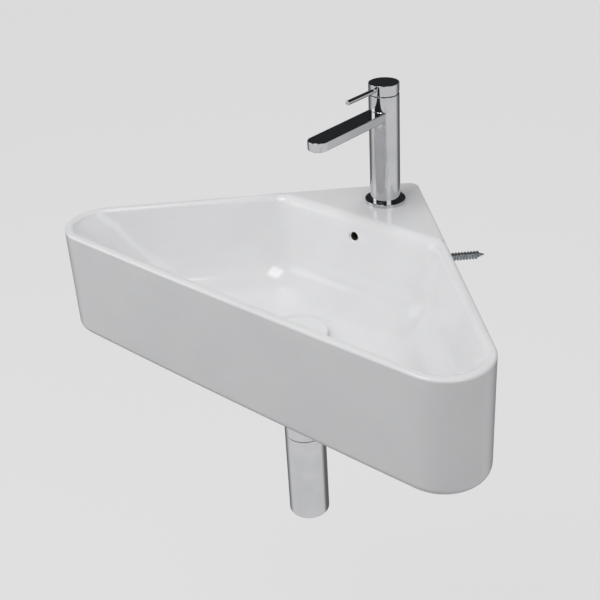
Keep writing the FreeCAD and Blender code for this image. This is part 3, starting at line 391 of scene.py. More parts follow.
def sweepPoints(centre, radius, first, last, count):
    turns = [first + (last - first) * i / count for i in range(count + 1)]
    return [(centre[0] + radius * math.cos(turn), centre[1] + radius * math.sin(turn)) for turn in turns]


def between(start, end, count):      # points strictly between two points
    return [tuple(a + (b - a) * i / count for a, b in zip(start, end)) for i in range(1, count)]


def raised(outline, height):
    return [(x, y, height) for x, y in outline]


def besideWall(side, along, out, height):        # this far along a wall from the corner, and out of it
    return (side * (along - out) / rootTwo, -(along + out) / rootTwo, height)


# basin

basin = {"frontReach": 348.4, "frontBow": 14600, "frontSetback": 0.5, "height": 129.5, "cornerRound": 47.5,
         "backRound": 12, "leastRound": 3, "rimWidth": 10, "rimOuterRound": 3, "bottomRound": 10,
         "levels": (-20, -45, -70, -98), "bowlBack": 125, "bowlLean": 17, "bowlDepth": 103.5,
         "floorRound": 52, "bowlLevels": (20, 30, 42), "aboveRound": 8, "cornerTop": 37.5, "cornerFloor": 62,
         "backCornerTop": 32, "backCornerFloor": 58, "roundFront": 3.2, "roundSides": 4.4, "roundBack": 11,
         "wasteBack": 231.7, "seatTop": 46, "wasteHole": 46, "tapHole": 35, "tapBack": 66, "deck": 14,
         "panel": 12, "pocketFront": 105, "lip": 25, "recess": 8, "lipRound": 1.5,
         "overflowHole": 10, "overflowDrop": 22.5, "overflowRound": 1.6, "duct": 9, "ductBack": 117,
         "ductFoot": 98, "ductTop": 4.9, "ductReach": 21, "fixingHole": 16, "fixingAlong": 100,
         "fixingDrop": 55}
# points on the bowl's outline: from which the edge turns from its back round to its side round, and over
# how many, then the same from its side round to its front round
edgeTurns = {"back": 20, "backOver": 16, "front": 46, "frontOver": 14}
cutPast = 5              # how far a cutting tool runs past the surface
# the waste's seat in the floor: (outwards from its rim, below the floor)
seatSteps = ((3, 0), (1, 0.12), (-1, 0.42), (-5, 1.15), (-9, 1.75), (-11, 1.95), (-13, 2))


def frontHalf(wallInset, frontInset, radius):    # left front corner and half the bowed front
    middleY = basin["frontBow"] - basin["frontReach"]
    reach = basin["frontBow"] - frontInset
    offset = rootTwo * (radius + wallInset) + middleY
    x = (offset - math.sqrt(2 * (reach - radius) ** 2 - offset ** 2)) / 2
    centre = (x, x - rootTwo * (radius + wallInset))
    toFront = math.atan2(centre[1] - middleY, centre[0])
    corner = sweepPoints(centre, radius, math.radians(135), toFront + 2 * math.pi, 18)
    front = sweepPoints((0, middleY), reach, toFront, -math.pi / 2, 20)
    return corner + front[1:]


def closeOutline(left):              # the left half, from back middle to front middle, and its mirror
    right = [(-x, y) for x, y in reversed(left[1:-1])]
    return left + right


def bodyOutline(wallInset, frontInset, radius):
    backRadius = max(basin["backRound"] - wallInset, basin["leastRound"])
    backCentre = (0, -rootTwo * (wallInset + backRadius))
    back = sweepPoints(backCentre, backRadius, math.pi / 2, math.radians(135), 8)
    front = frontHalf(wallInset, frontInset, radius)
    return closeOutline(back + between(back[-1], front[0], 30) + front)


def bowlOutline(inset, back, radius, backRadius):
    y = -back - backRadius
    centre = (y + rootTwo * (inset + backRadius), y)
    corner = sweepPoints(centre, backRadius, math.pi / 2, math.radians(135), 12)
    front = frontHalf(inset, inset, radius)
    middle = (0.0, -back)
    backEdge = [middle] + between(middle, corner[0], 16)
    return closeOutline(backEdge + corner + between(corner[-1], front[0], 14) + front)


def edgeRound(index, count):         # how round the bowl's edge is, from the back edge to the front
    b, t = basin, edgeTurns
    half = min(index, count - index)
    share = min(1, max(0, half - t["back"]) / t["backOver"])
    side = b["roundBack"] + (b["roundSides"] - b["roundBack"]) * share * share * (3 - 2 * share)
    share = min(1, max(0, half - t["front"]) / t["frontOver"])
    return side + (b["roundFront"] - side) * share


def outsideRings():                  # (inset from walls, inset from front, height), rim to underside
    b = basin
    rings = []
    for step in range(7):
        turn = math.pi / 2 * step / 6
        inset = b["rimOuterRound"] * (1 - math.sin(turn))
        rings.append((inset, inset, -b["rimOuterRound"] * (1 - math.cos(turn))))
    for level in b["levels"]:
        rings.append((0, b["frontSetback"] * -level / b["height"], level))
    for step in range(9):
        turn = math.pi / 2 * step / 8
        inset = b["bottomRound"] * (1 - math.cos(turn))
        level = -b["height"] + b["bottomRound"] * (1 - math.sin(turn))
        rings.append((inset, inset + b["frontSetback"] * -level / b["height"], level))
    return rings


def bowlRing(depth, further=0.0):    # the bowl's wall at this depth, and further in where it turns
    b = basin
    share = min(1, depth / b["bowlDepth"])
    lean = b["bowlLean"] * share + further
    radius = b["cornerTop"] + (b["cornerFloor"] - b["cornerTop"]) * share - further
    backRadius = b["backCornerTop"] + (b["backCornerFloor"] - b["backCornerTop"]) * share - further
    return raised(bowlOutline(b["rimWidth"] + lean, b["bowlBack"] + lean, radius, backRadius), -depth)


def bowlEdgeRing(turn):              # the rounded edge between deck and wall, softer at the back
    b = basin
    near = bowlOutline(b["rimWidth"], b["bowlBack"], b["cornerTop"], b["backCornerTop"])
    far = bowlOutline(b["rimWidth"] - 1, b["bowlBack"] - 1, b["cornerTop"] + 1, b["backCornerTop"] + 1)
    points = []
    for i, (here, out) in enumerate(zip(near, far)):
        size = edgeRound(i, len(near))
        drop = size * (1 - math.cos(turn))
        move = size * (1 - math.sin(turn)) - drop * b["bowlLean"] / b["bowlDepth"]
        x, y = (a + (c - a) * move for a, c in zip(here, out))
        points.append((x, y, -drop))
    return points


def growBowl(bm):                    # over the edge, down the wall, round to the floor, into the waste's seat
    b = basin
    slope = math.atan2(b["bowlLean"], b["bowlDepth"])
    tangent = b["floorRound"] * math.tan((math.pi / 2 - slope) / 2)
    inner = ring = startRing(bm, bowlEdgeRing(0))
    for step in range(1, 9):
        ring = growRing(bm, ring, bowlEdgeRing(math.pi / 2 * step / 8))
    for depth in b["bowlLevels"] + (b["bowlDepth"] - tangent * math.cos(slope) - b["aboveRound"],):
        ring = growRing(bm, ring, bowlRing(depth))
    for step in range(13):
        turn = slope + (math.pi / 2 - slope) * step / 12
        depth = b["bowlDepth"] - b["floorRound"] * (1 - math.sin(turn))
        lean = b["bowlLean"] * (1 - depth / b["bowlDepth"])
        ring = growRing(bm, ring, bowlRing(depth, tangent - b["floorRound"] * math.cos(turn) + lean))
    floorRing = [tuple(vert.co / mm) for vert in ring]
    turns = [math.atan2(y + b["wasteBack"], x) for x, y, _ in floorRing]

    def seatRing(radius, level):
        return [(radius * math.cos(turn), -b["wasteBack"] + radius * math.sin(turn), level) for turn in turns]

    edge = seatRing(b["seatTop"] + seatSteps[0][0], -b["bowlDepth"])
    for share in (0.35, 0.7):
        ring = growRing(bm, ring, [tuple(a + (c - a) * share for a, c in zip(start, end))
                                   for start, end in zip(floorRing, edge)])
    for out, drop in seatSteps:
        ring = growRing(bm, ring, seatRing(b["seatTop"] + out, -b["bowlDepth"] - drop))
    bm.faces.new(ring)
    return inner


def undersideTools():
    b = basin
    below = -b["height"] - cutPast
    pocket = [point for point in bodyOutline(b["panel"], b["panel"], b["cornerRound"] - b["panel"])
              if point[1] > -b["pocketFront"]]
    pocket.sort(key=lambda point: point[0])
    ends = -b["pocketFront"] + rootTwo * b["panel"]
    pocket = [(ends, -b["pocketFront"])] + pocket + [(-ends, -b["pocketFront"])]
    recess = bodyOutline(b["lip"], b["lip"] + b["frontSetback"], b["cornerRound"] - b["panel"])
    return [prismTool(recess, below, b["recess"] - b["height"]), prismTool(pocket, below, -b["deck"])]


def holeTools():
    b = basin
    waste, tap, duct = -b["wasteBack"], -b["tapBack"], -b["ductBack"]
    tools = [borer(b["wasteHole"], (0, waste, -b["height"] - cutPast), (0, waste, 1 - b["bowlDepth"]), 96),
             borer(b["tapHole"], (0, tap, -b["deck"] - cutPast), (0, tap, cutPast), 96),
             borer(b["overflowHole"], (0, duct, -b["overflowDrop"]),
                   (0, duct - b["ductReach"], -b["overflowDrop"])),
             borer(b["duct"], (0, duct, -b["ductFoot"]), (0, duct, b["ductTop"] - b["overflowDrop"]))]
    for side in (-1, 1):
        ends = [besideWall(side, b["fixingAlong"], out, -b["fixingDrop"]) for out in (-3, b["panel"] + 3)]
        tools.append(borer(b["fixingHole"], *ends))
    return tools


def againstWall(centre, normal):     # a face flat on either wall
    facing = [normal.dot(Vector((side, 1, 0)).normalized()) > 0.98 for side in (-1, 1)]
    return any(abs(centre.x * side + centre.y) < 0.8 and there for side, there in zip((-1, 1), facing))


def markBareParts(bm):               # bisque where no glaze was sprayed, and painted shadow on the overflow's inside
    b = basin
    for face in bm.faces:
        centre = face.calc_center_median() / mm
        inPocket = (0.5 - b["height"] < centre.z < 0.5 - b["deck"] and centre.y > -b["pocketFront"] - 0.5
                    and abs(centre.x) + centre.y < -rootTwo * (b["panel"] - 1))
        inDuct = (-7.5 < centre.y + b["ductBack"] < 6 and abs(centre.x) < 5.6
                  and -b["ductFoot"] - 1 < centre.z < 6 - b["overflowDrop"])
        bare = inPocket or againstWall(centre, face.normal)
        face.material_index = 2 if inDuct else 1 if bare else 0


def makeBasin():
    b = basin
    bm = bmesh.new()
    rings = outsideRings()
    rim = ring = None
    for wallInset, frontInset, level in rings:
        points = raised(bodyOutline(wallInset, frontInset, b["cornerRound"] - wallInset), level)
        ring = growRing(bm, ring, points) if ring else startRing(bm, points)
        rim = rim or ring
    bm.faces.new(ring)
    inner = growBowl(bm)
    bmesh.ops.triangle_fill(bm, use_beauty=True, edges=edgeRing(rim) + edgeRing(inner))
    bmesh.ops.remove_doubles(bm, verts=bm.verts, dist=0.001 * mm)
    bm = without(roughObject("roughBasin", bm), undersideTools() + holeTools(), 0.01)
    face = -b["bowlBack"] - b["bowlLean"] * b["overflowDrop"] / b["bowlDepth"]      # the wall at the overflow
    hole = Vector((0, face, -b["overflowDrop"]))
    softened(bm, creases(bm, 0.6, lambda spot: (spot - hole).length < 7 and spot.y < face + 5.8),
             b["overflowRound"], 4)
    softened(bm, creases(bm, 0.6, lambda spot: spot.z < 0.1 - b["height"]), b["lipRound"])
    markBareParts(bm)
    print("basin:", len(bm.faces), "faces")
    newPiece("basinShell", bm, "basin", "basin_body", [finishes["white_glaze"], bisque, ductShadow], 32)


makeBasin()

# tap

tap = {"back": basin["tapBack"], "column": 17.5, "foot": 1.5, "top": 132, "bore": 14, "seat": 88.8,
       "joint": 0.7, "spoutWidth": 24, "spoutLow": 104, "spoutHigh": 114.3, "reach": 129.5, "spoutEdge": 0.8,
       "spoutDuct": 7, "ductEnd": 6, "aerator": 18, "aeratorRoom": 8, "inletSpread": 6.2, "inletForward": 3,
       "inletBore": 9.2, "inletDepth": 14, "studBore": 8.1, "studBehind": 10.5, "studDepth": 15}
lever = {"low": 132.8, "high": 145.2, "pivot": 114.8, "lift": 18, "relief": 0.3, "reliefBlock": 150,
         "rodHeight": 139.8, "rodRoot": 9, "rodTip": 67, "rodRadius": 2.7, "rodEdge": 0.6, "dimple": 1,
         "dimpleDepth": 0.8, "socket": 7.1, "socketTop": 140.6, "screw": 4, "screwHeight": 136.6,
         "screwIn": 3.5, "boredTo": 30}
baseRing = {"bore": 17.6, "outer": 24, "height": 4, "gasketRoom": 21.1, "gasket": 1.5, "edge": 0.9}
aerator = {"outer": 8.95, "inner": 6.95, "low": 102.5, "high": 110.5, "plate": 6.85, "plateLow": 104,
           "plateHigh": 109, "cell": 1.12, "cellLength": 8, "spacing": 2.3, "across": 5.7}


def spoutBar():
    t = tap
    half, tip = t["spoutWidth"] / 2, -t["back"] - t["reach"] + t["spoutWidth"] / 2
    end = sweepPoints((0, tip), half, math.pi, 2 * math.pi, 48)
    outline = [(-half, -t["back"])] + end + [(half, -t["back"])]
    bm = bmesh.new()
    ring = startRing(bm, raised(outline, t["spoutLow"]))
    faces = [bm.faces.new(growRing(bm, ring, raised(outline, t["spoutHigh"]))), bm.faces.new(ring)]
    rims = [edge for face in faces for edge in face.edges
            if min(vert.co.y for vert in edge.verts) < (-t["back"] - 1) * mm]
    bmesh.ops.recalc_face_normals(bm, faces=bm.faces)
    softened(bm, rims, t["spoutEdge"], 4)
    return roughObject("roughSpout", bm)


def makeTapBody():
    t = tap
    tip, middle = -t["back"] - t["reach"] + t["spoutWidth"] / 2, (t["spoutLow"] + t["spoutHigh"]) / 2
    profile = [(0, t["seat"], 0), (t["bore"], t["seat"], 0), (t["bore"], t["top"], 0.3),
               (t["column"], t["top"], 0.45), (t["column"], t["foot"], 0.3), (0, t["foot"], 0)]
    column = turnedSolid("roughColumn", profile, upright(0, -t["back"]), 160)
    low, stud = t["spoutLow"], t["studBehind"] - t["back"]
    bores = [borer(t["aerator"], (0, tip, low - 1), (0, tip, low + t["aeratorRoom"]), 96),
             borer(t["spoutDuct"], (0, 1 - t["back"] - t["bore"], middle), (0, tip - t["ductEnd"], middle)),
             borer(2 * t["bore"], (0, -t["back"], t["seat"]), (0, -t["back"], t["top"] + 1), 160),
             borer(t["studBore"], (0, stud, 0), (0, stud, t["foot"] + t["studDepth"]))]
    for side in (-1, 1):
        x, y = side * t["inletSpread"], -t["back"] - t["inletForward"]
        bores.append(borer(t["inletBore"], (x, y, 0), (x, y, t["foot"] + t["inletDepth"])))
    bm = combined(column, [("UNION", spoutBar())] + [("DIFFERENCE", tool) for tool in bores])
    axis = Vector((0, -t["back"]))

    def leavesColumn(spot):          # where the spout's faces meet the column's
        return (abs((spot.xy - axis).length - t["column"]) < 0.05 and spot.y < -t["back"]
                and t["spoutLow"] - 0.1 < spot.z < t["spoutHigh"] + 0.1)

    seam = creases(bm, 0.5, leavesColumn)
    softened(bm, seam, t["joint"])
    newPiece("tapColumnAndSpout", bm, "basin", "tap_body")
    print("tap body made,", len(seam), "edges where the spout leaves the column")


def makeBaseRing():
    r = baseRing
    bm = bmesh.new()
    turned(bm, [(r["bore"], r["height"], 0.25), (r["outer"], r["height"], r["edge"]), (r["outer"], 0, 0.1),
                (r["gasketRoom"], 0, 0), (r["gasketRoom"], r["gasket"], 0), (r["bore"], r["gasket"], 0)],
           upright(0, -tap["back"]), 144, True)
    newPiece("tapBaseRing", bm, "basin", "tap_base_ring")


def makeLever():
    t = lever
    y, size = -tap["back"], t["reliefBlock"]
    profile = [(0, t["low"], 0), (tap["column"], t["low"], 0.5), (tap["column"], t["high"], 0.6),
               (0, t["high"], 0)]
    cap = turnedSolid("roughCap", profile, upright(0, y), 160)
    tilt = upright(0, y, t["pivot"]) @ Matrix.Rotation(math.radians(t["lift"]), 4, "X")
    low = tap["top"] + t["relief"] - t["pivot"]          # the rear clears the column when the lever tips back
    socket = beam(t["socket"], t["socket"], t["low"] - 1, t["socketTop"], upright(0, y))
    rod, screw, far = t["rodHeight"], t["screwHeight"], t["boredTo"]
    tools = [roughObject("socket", socket), roughObject("relief", beam(size, size, low - size, low, tilt)),
             borer(2 * t["rodRadius"], (0, y - t["rodRoot"], rod), (0, y - far, rod)),
             borer(t["screw"], (-t["screwIn"], y, screw), (-far, y, screw))]
    newPiece("leverCap", without(cap, tools), "lever", "lever_cap")
    bm = bmesh.new()
    radius, tip, bottom = t["rodRadius"], t["rodTip"], t["rodTip"] - t["dimpleDepth"]
    profile = [(0, t["rodRoot"], 0), (radius, t["rodRoot"], 0), (radius, tip, t["rodEdge"]),
               (t["dimple"], tip, 0.12), (t["dimple"] - 0.2, bottom, 0), (0, bottom, 0)]
    turned(bm, profile, alongWay((0, y, rod), (0, -1, 0)), 64)
    newPiece("leverRod", bm, "lever", "lever_rod")


def makeAerator():
    a = aerator
    y = -tap["back"] - tap["reach"] + tap["spoutWidth"] / 2
    bm = bmesh.new()
    turned(bm, [(a["outer"], a["low"], 0.5), (a["outer"], a["high"], 0), (a["inner"], a["high"], 0),
                (a["inner"], a["low"], 0.3)], upright(0, y), 96, True)
    newPiece("aeratorRing", bm, "basin", "aerator_housing")
    profile = [(0, a["plateLow"], 0), (a["plate"], a["plateLow"], 0.2), (a["plate"], a["plateHigh"], 0),
               (0, a["plateHigh"], 0)]
    plate = turnedSolid("aeratorPlate", profile, upright(0, y), 72)
    cells = bmesh.new()
    for row in range(-3, 4):
        for column in range(-3, 4):
            x, along = a["spacing"] * (column + row / 2), a["spacing"] * row * math.sqrt(3) / 2
            if math.hypot(x, along) < a["across"]:
                bmesh.ops.create_cone(cells, cap_ends=True, segments=6, radius1=a["cell"] * mm,
                                      radius2=a["cell"] * mm, depth=a["cellLength"] * mm,
                                      matrix=upright(x, y + along, (a["plateLow"] + a["plateHigh"]) / 2))
    newPiece("aeratorHoneycomb", without(plate, [roughObject("cells", cells)]), "basin", "aerator_insert")


makeTapBody()
makeBaseRing()
makeLever()
makeAerator()

# waste and trap

waste = {"back": basin["wasteBack"], "thread": 20.95, "threadDepth": 1.1, "pitch": 2.309, "turns": 20,
         "threadEnd": -169.9, "shoulder": -121, "bore": 18, "throat": 19, "flange": 31.5, "flangeTop": -102.5,
         "flangeFoot": -104.5, "foot": -170.5, "slot": (13, 7), "slotReach": 60, "slotHeight": -113.5,
         "spider": (-126.5, -118.5), "hub": (6.6, 8.5), "arm": 3, "armLength": 10.6, "armMiddle": 13.6,
         "armTurn": 30, "cover": 32, "coverTop": -98, "coverFoot": -102, "coverSocket": (6, 2)}
# the cover's crown, (radius, below its top, round)
crown = [(waste["cover"], 0.45, 1.5), (22, 0.12, 0), (10, 0.02, 0), (0, 0, 0)]
trap = {"radius": 24, "wall": 1.9, "top": -183.5, "joint": -233.9, "bottom": -348.2, "plate": 4, "neck": 16.3,
        "groove": 19.3, "grooveDepth": 3, "screwNeck": 11.5, "floor": 3, "edge": 1.1, "seam": 0.5,
        "outletHeight": -205.5, "branch": 18.25, "branchBore": 16.05, "branchStart": 6, "branchLength": 16,
        "branchSeam": 0.8,
        "tube": 16, "tubeBore": 14.8, "inWall": 50, "overlap": 10, "wallGap": 0.3,
        "footRecess": 0.35, "footRim": (13, 14)}
# union nuts: pressed grip flutes, which run out towards both ends of the nut between these two distances
flutes = {"count": 48, "depth": 0.45, "end": 3.3, "plain": 2.6, "full": 3.4}
inletNut = {"outer": 25, "bore": 21, "lip": 16.3, "low": -177.5, "lipEnd": -174.5, "high": -155.5}
# its heights are distances from the trap's axis
outletNut = {"outer": 22, "bore": 18.3, "lip": 16.3, "low": 47, "lipEnd": 44, "high": 32}
# domed cover ring, (radius, height over the wall, round): outside, then inside
rosette = [(32, 0, 0.2), (32, 1.2, 0.3), (31.2, 3.0, 0.4), (29.2, 4.6, 1.5), (24.5, 7.2, 3), (19, 8.7, 1.5),
           (16.05, 9, 0.3), (16.05, 7.5, 0), (19, 7.2, 0), (24, 5.8, 0), (28.4, 3.4, 0), (30.3, 1.4, 0),
           (30.5, 0, 0.1)]


def makeCover(place):
    w = waste
    bm = bmesh.new()
    top, foot = w["coverTop"], w["coverFoot"]
    socket, deep = w["coverSocket"]
    under = [(0, foot + deep, 0), (socket, foot + deep, 0), (socket, foot, 0), (w["cover"], foot, 0.6)]
    turned(bm, under + [(radius, top - drop, size) for radius, drop, size in crown], place, 144)
    newPiece("wasteCover", bm, "plug", "waste_cover", sharp=40)


def makeWaste():
    w = waste
    place = upright(0, -w["back"])
    makeCover(place)
    root, step = w["thread"] - w["threadDepth"], w["flangeFoot"] - 2
    bm = bmesh.new()
    turned(bm, [(w["throat"], w["flangeTop"], 0.3), (w["flange"], w["flangeTop"], 0.9),
                (w["flange"], w["flangeFoot"], 0.15), (w["thread"], w["flangeFoot"], 0),
                (w["thread"], w["shoulder"] + 1, 0.3), (root, w["shoulder"], 0), (root, w["foot"] + 1, 0.2),
                (root - 0.6, w["foot"], 0.1), (w["bore"], w["foot"], 0.2), (w["bore"], step, 0),
                (w["throat"], step, 0)], place, 144, True)
    bmesh.ops.remove_doubles(bm, verts=bm.verts, dist=weld * mm)
    body = roughObject("roughWaste", bm)
    slots = bmesh.new()
    wide, tall = w["slot"]
    for turn in range(2):            # four overflow slots, cut by two crossing beams
        across = place @ upright(0, 0, w["slotHeight"]) @ Matrix.Rotation(turn * math.pi / 2, 4, "Z")
        addTo(slots, beam(w["slotReach"], wide, -tall / 2, tall / 2, across))
    bm = without(body, [roughObject("slots", slots)])
    low, high = w["spider"]
    for turn in range(3):
        arm = Matrix.Rotation(math.radians(w["armTurn"] + 120 * turn), 4, "Z") @ upright(w["armMiddle"], 0)
        addTo(bm, beam(w["armLength"], w["arm"], low + 0.5, high - 0.5, place @ arm))
    bore, hub = w["hub"]
    turned(bm, [(hub, high, 0.3), (hub, low, 0.3), (bore, low, 0), (bore, high, 0)], place, 64, True)
    thread(bm, root, w["thread"], w["pitch"], w["threadEnd"], w["turns"], place, 48)
    newPiece("wasteBody", bm, "basin", "waste_body")


def pressFlutes(verts, place, ends):     # grip flutes, pressed into the outer wall between two heights
    back = place.inverted()
    for vert in verts:
        here = back @ vert.co
        if min(ends) * mm <= here.z <= max(ends) * mm:
            wave = 0.5 - 0.5 * math.cos(math.atan2(here.y, here.x) * flutes["count"])
            here.xy *= 1 - flutes["depth"] * mm * wave / here.xy.length
            vert.co = place @ here


def nutRing(name, node, n, place):       # a union nut: grip flutes outside, a lip at one end
    bm = bmesh.new()
    wall, low, high = n["outer"], n["low"], n["high"]
    flip = 1 if high > low else -1
    plain, full, end = (flutes[part] * flip for part in ("plain", "full", "end"))
    grip = [(wall, low, 0.8), (wall, low + plain, 0), (wall, low + full, 0), (wall, (low + high) / 2, 0),
            (wall, high - full, 0), (wall, high - plain, 0), (wall, high, 0.8)]
    inside = [(n["bore"], high, 0.4), (n["bore"], n["lipEnd"], 0), (n["lip"], n["lipEnd"], 0),
              (n["lip"], low, 0.4)]
    verts = turned(bm, grip + inside, place, flutes["count"] * 6, True)
    back = place.inverted()
    outside = [vert for vert in verts if (back @ vert.co).xy.length > (wall - 0.2) * mm]
    pressFlutes(outside, place, (low + end, high - end))
    newPiece(name, bm, "basin", node)


def makeTrapHead(place, sideways):
    t = trap
    r, top, joint, end = t["radius"], t["top"], t["joint"], t["radius"] + t["branchLength"]
    profile = [(0, joint, 0), (r, joint, 0.5), (r, top, t["edge"]), (0, top, 0)]
    shell = turnedSolid("roughHead", profile, place)
    first, wide = t["branchStart"], t["branch"]
    profile = [(0, first, 0), (wide, first, 0), (wide, end, 0.5), (0, end, 0)]
    branch = turnedSolid("roughBranch", profile, sideways, 128)
    bore, under, step = r - t["wall"], top - t["plate"], top - t["grooveDepth"]
    profile = [(0, joint - 1, 0), (bore, joint - 1, 0), (bore, under, 0.8), (t["neck"], under, 0),
               (t["neck"], step, 0), (t["groove"], step, 0), (t["groove"], top + 1, 0), (0, top + 1, 0)]
    inside = turnedSolid("headBore", profile, place, 131)        # no facet in line with the shell's
    axis = Vector((0, -waste["back"], 0))
    outward = Vector((-1 / rootTwo, 1 / rootTwo, 0))
    start = axis + Vector((0, 0, t["outletHeight"]))
    tools = [inside, borer(2 * t["branchBore"], start, start + outward * (end + 1), 96)]
    bm = combined(shell, [("UNION", branch)] + [("DIFFERENCE", tool) for tool in tools])

    def leavesHead(spot):            # where the branch meets the head's wall
        out = spot - start
        return (abs((spot - axis).xy.length - r) < 0.06 and out.dot(outward) > 0
                and abs(out.cross(outward).length - t["branch"]) < 0.08)

    softened(bm, creases(bm, 0.4, leavesHead), t["branchSeam"])
    newPiece("trapHead", bm, "basin", "trap_head")


def makeTrap():
    t = trap
    place = upright(0, -waste["back"])
    nutRing("trapInletNut", "trap_inlet_nut", inletNut, place)
    r, low, joint = t["radius"], t["bottom"], t["joint"] - t["seam"]
    inner, neck = r - t["wall"], r - t["wall"] - 0.05
    throat, top, foot, rim = neck - t["wall"], joint + t["screwNeck"], low + t["footRecess"], t["footRim"]
    bm = bmesh.new()
    turned(bm, [(0, foot, 0), (rim[0], foot, 0.4), (rim[1], low, 0.3), (r, low, t["edge"]), (r, joint, 0.5),
                (neck, joint, 0), (neck, top, 0.3), (throat, top, 0.3), (throat, joint - t["wall"], 0),
                (inner, joint - 2 * t["wall"], 0), (inner, low + t["floor"], 1.5),
                (0, low + t["floor"], 0)], place, 144)
    newPiece("trapCup", bm, "basin", "trap_cup")
    outward = Vector((-1 / rootTwo, 1 / rootTwo, 0))
    start = Vector((0, -waste["back"], t["outletHeight"]))
    sideways = alongWay(start, outward)
    makeTrapHead(place, sideways)
    nutRing("trapOutletNut", "trap_outlet_nut", outletNut, sideways)
    wall, first = waste["back"] / rootTwo, r + t["branchLength"] - t["overlap"]
    last = wall + t["inWall"]
    bm = bmesh.new()
    turned(bm, [(t["tube"], first, 0.2), (t["tube"], last, 0.25), (t["tubeBore"], last, 0.25),
                (t["tubeBore"], first, 0.2)], sideways, 128, True)
    newPiece("outletTube", bm, "basin", "outlet_tube")
    bm = bmesh.new()
    turned(bm, rosette, alongWay(start + outward * (wall - t["wallGap"]), -outward), 144, True)
    newPiece("wallRosette", bm, "basin", "wall_rosette", sharp=40)


# wall fixings and nuts; a stud's heights run from the wall into the room

stud = {"wood": 3.6, "crest": 5, "woodPitch": 3.6, "woodTurns": 14, "woodStart": -55, "root": 4.2, 
        "pitch": 1.5, "turns": 11, "start": 12.3, "along": basin["fixingAlong"], "drop": basin["fixingDrop"]}
studProfile = [(0, -60, 0), (0.7, -60, 0.2), (3.6, -50, 1), (3.6, -2, 0), (4.4, 0, 0.2), (4.4, 11.6, 0.3),
               (4.2, 12.5, 0), (4.2, 30.2, 0.2), (3.4, 31, 0.2), (0, 31, 0)]
hexNuts = {"fixing": (17, 16.5, 24.5, 5.05), "locknut": (54, -135.5, -127.5, 21)}    # across, low, high, bore


def makeFixings():
    s = stud
    studs, nuts = bmesh.new(), bmesh.new()
    for side in (-1, 1):
        inward = alongWay(besideWall(side, s["along"], 0, -s["drop"]), (-side / rootTwo, -1 / rootTwo, 0))
        turned(studs, studProfile, inward, 48)
        thread(studs, s["wood"], s["crest"], s["woodPitch"], s["woodStart"], s["woodTurns"], inward)
        thread(studs, s["root"], s["crest"], s["pitch"], s["start"], s["turns"], inward)
        addTo(nuts, hexNut(*hexNuts["fixing"], inward))
    newPiece("wallStuds", studs, "basin", "wall_studs", sharp=35)
    newPiece("fixingNuts", nuts, "basin", "fixing_nuts", sharp=25)
    locknut = hexNut(*hexNuts["locknut"], upright(0, -waste["back"]))
    newPiece("wasteLocknut", locknut, "basin", "waste_locknut", sharp=25)


makeWaste()
makeTrap()
makeFixings()
print("turned pieces made")


# camera: the photograph's angle, worked out for a 600 x 600 picture
cameraSettings = {"place": (641.07, -942.64, 494.07), "yaw": -41.649, "pitch": 26.557, "roll": -3.264,
                  "lens": 60.257, "sensor": 36.0, "shiftUp": -0.1, "sees": (0.05, 60)}      # metres


def aimCamera(settings):
    yaw, pitch, roll = (math.radians(settings[part]) for part in ("yaw", "pitch", "roll"))
    level, ahead = Vector((math.cos(yaw), -math.sin(yaw), 0)), Vector((math.sin(yaw), math.cos(yaw), 0))
    forward = ahead * math.cos(pitch) - Vector((0, 0, math.sin(pitch)))
    above = level.cross(forward)
    right = level * math.cos(roll) + above * math.sin(roll)
    up = above * math.cos(roll) - level * math.sin(roll)
    data = bpy.data.cameras.new("photoCamera")
    data.sensor_width, data.lens, data.shift_y = settings["sensor"], settings["lens"], settings["shiftUp"]
    data.clip_start, data.clip_end = settings["sees"]
    camera = bpy.data.objects.new("photoCamera", data)
    turn = Matrix((right, up, -forward)).transposed().to_4x4()
    camera.matrix_world = Matrix.Translation(Vector(settings["place"]) * mm) @ turn
    bpy.context.scene.collection.objects.link(camera)
    bpy.context.scene.camera = camera


aimCamera(cameraSettings)

# studio: pale floor at the height a basin really hangs over it, soft boxes, pale surroundings
studio = {"floorHeight": -850, "floorSize": 40, "floorGlow": 0.75, "paper": "#E9E9EA",
          "bounce": "#9A9A9C", "fill": 0.45,      # what the floor throws back, and the sky's light
          "ceiling": "#2B2C2E", "ceilingStart": -0.02, "ceilingFull": 0.22,      # heights on the sky, -1 to 1
          # mirrors see the floor fade: cosines of the angle from this bearing, seen from this far in front
          "far": "#3C3D3F", "farStart": 0.1, "farFull": 0.75, "farBearing": -35, "farFrom": 0.2,
          # name, place and target in metres, width, height, watts
          "boxes": [("overheadBox", (-0.15, -0.95, 1.4), (0, -0.2, 0), 0.8, 0.7, 7.6),
                    ("leftBox", (-1.7, -1.3, 0.75), (0, -0.2, -0.05), 1.1, 1.2, 6),
                    ("rightBox", (1.6, -0.9, 1.1), (0, -0.2, 0), 1.1, 1.1, 5)]}


def anyRay(tree, kinds):             # 1 for a ray of any of these kinds
    rays = addNode(tree, "ShaderNodeLightPath", {})
    found = rays.outputs[kinds[0]]
    for kind in kinds[1:]:
        links = [(0, found), (1, rays.outputs[kind])]
        found = addNode(tree, "ShaderNodeMath", {"operation": "MAXIMUM"}, links).outputs["Value"]
    return found


def smoothStep(tree, value, first, last):
    settings = {"From Min": first, "From Max": last, "interpolation_type": "SMOOTHSTEP"}
    return addNode(tree, "ShaderNodeMapRange", settings, [("Value", value)]).outputs["Result"]


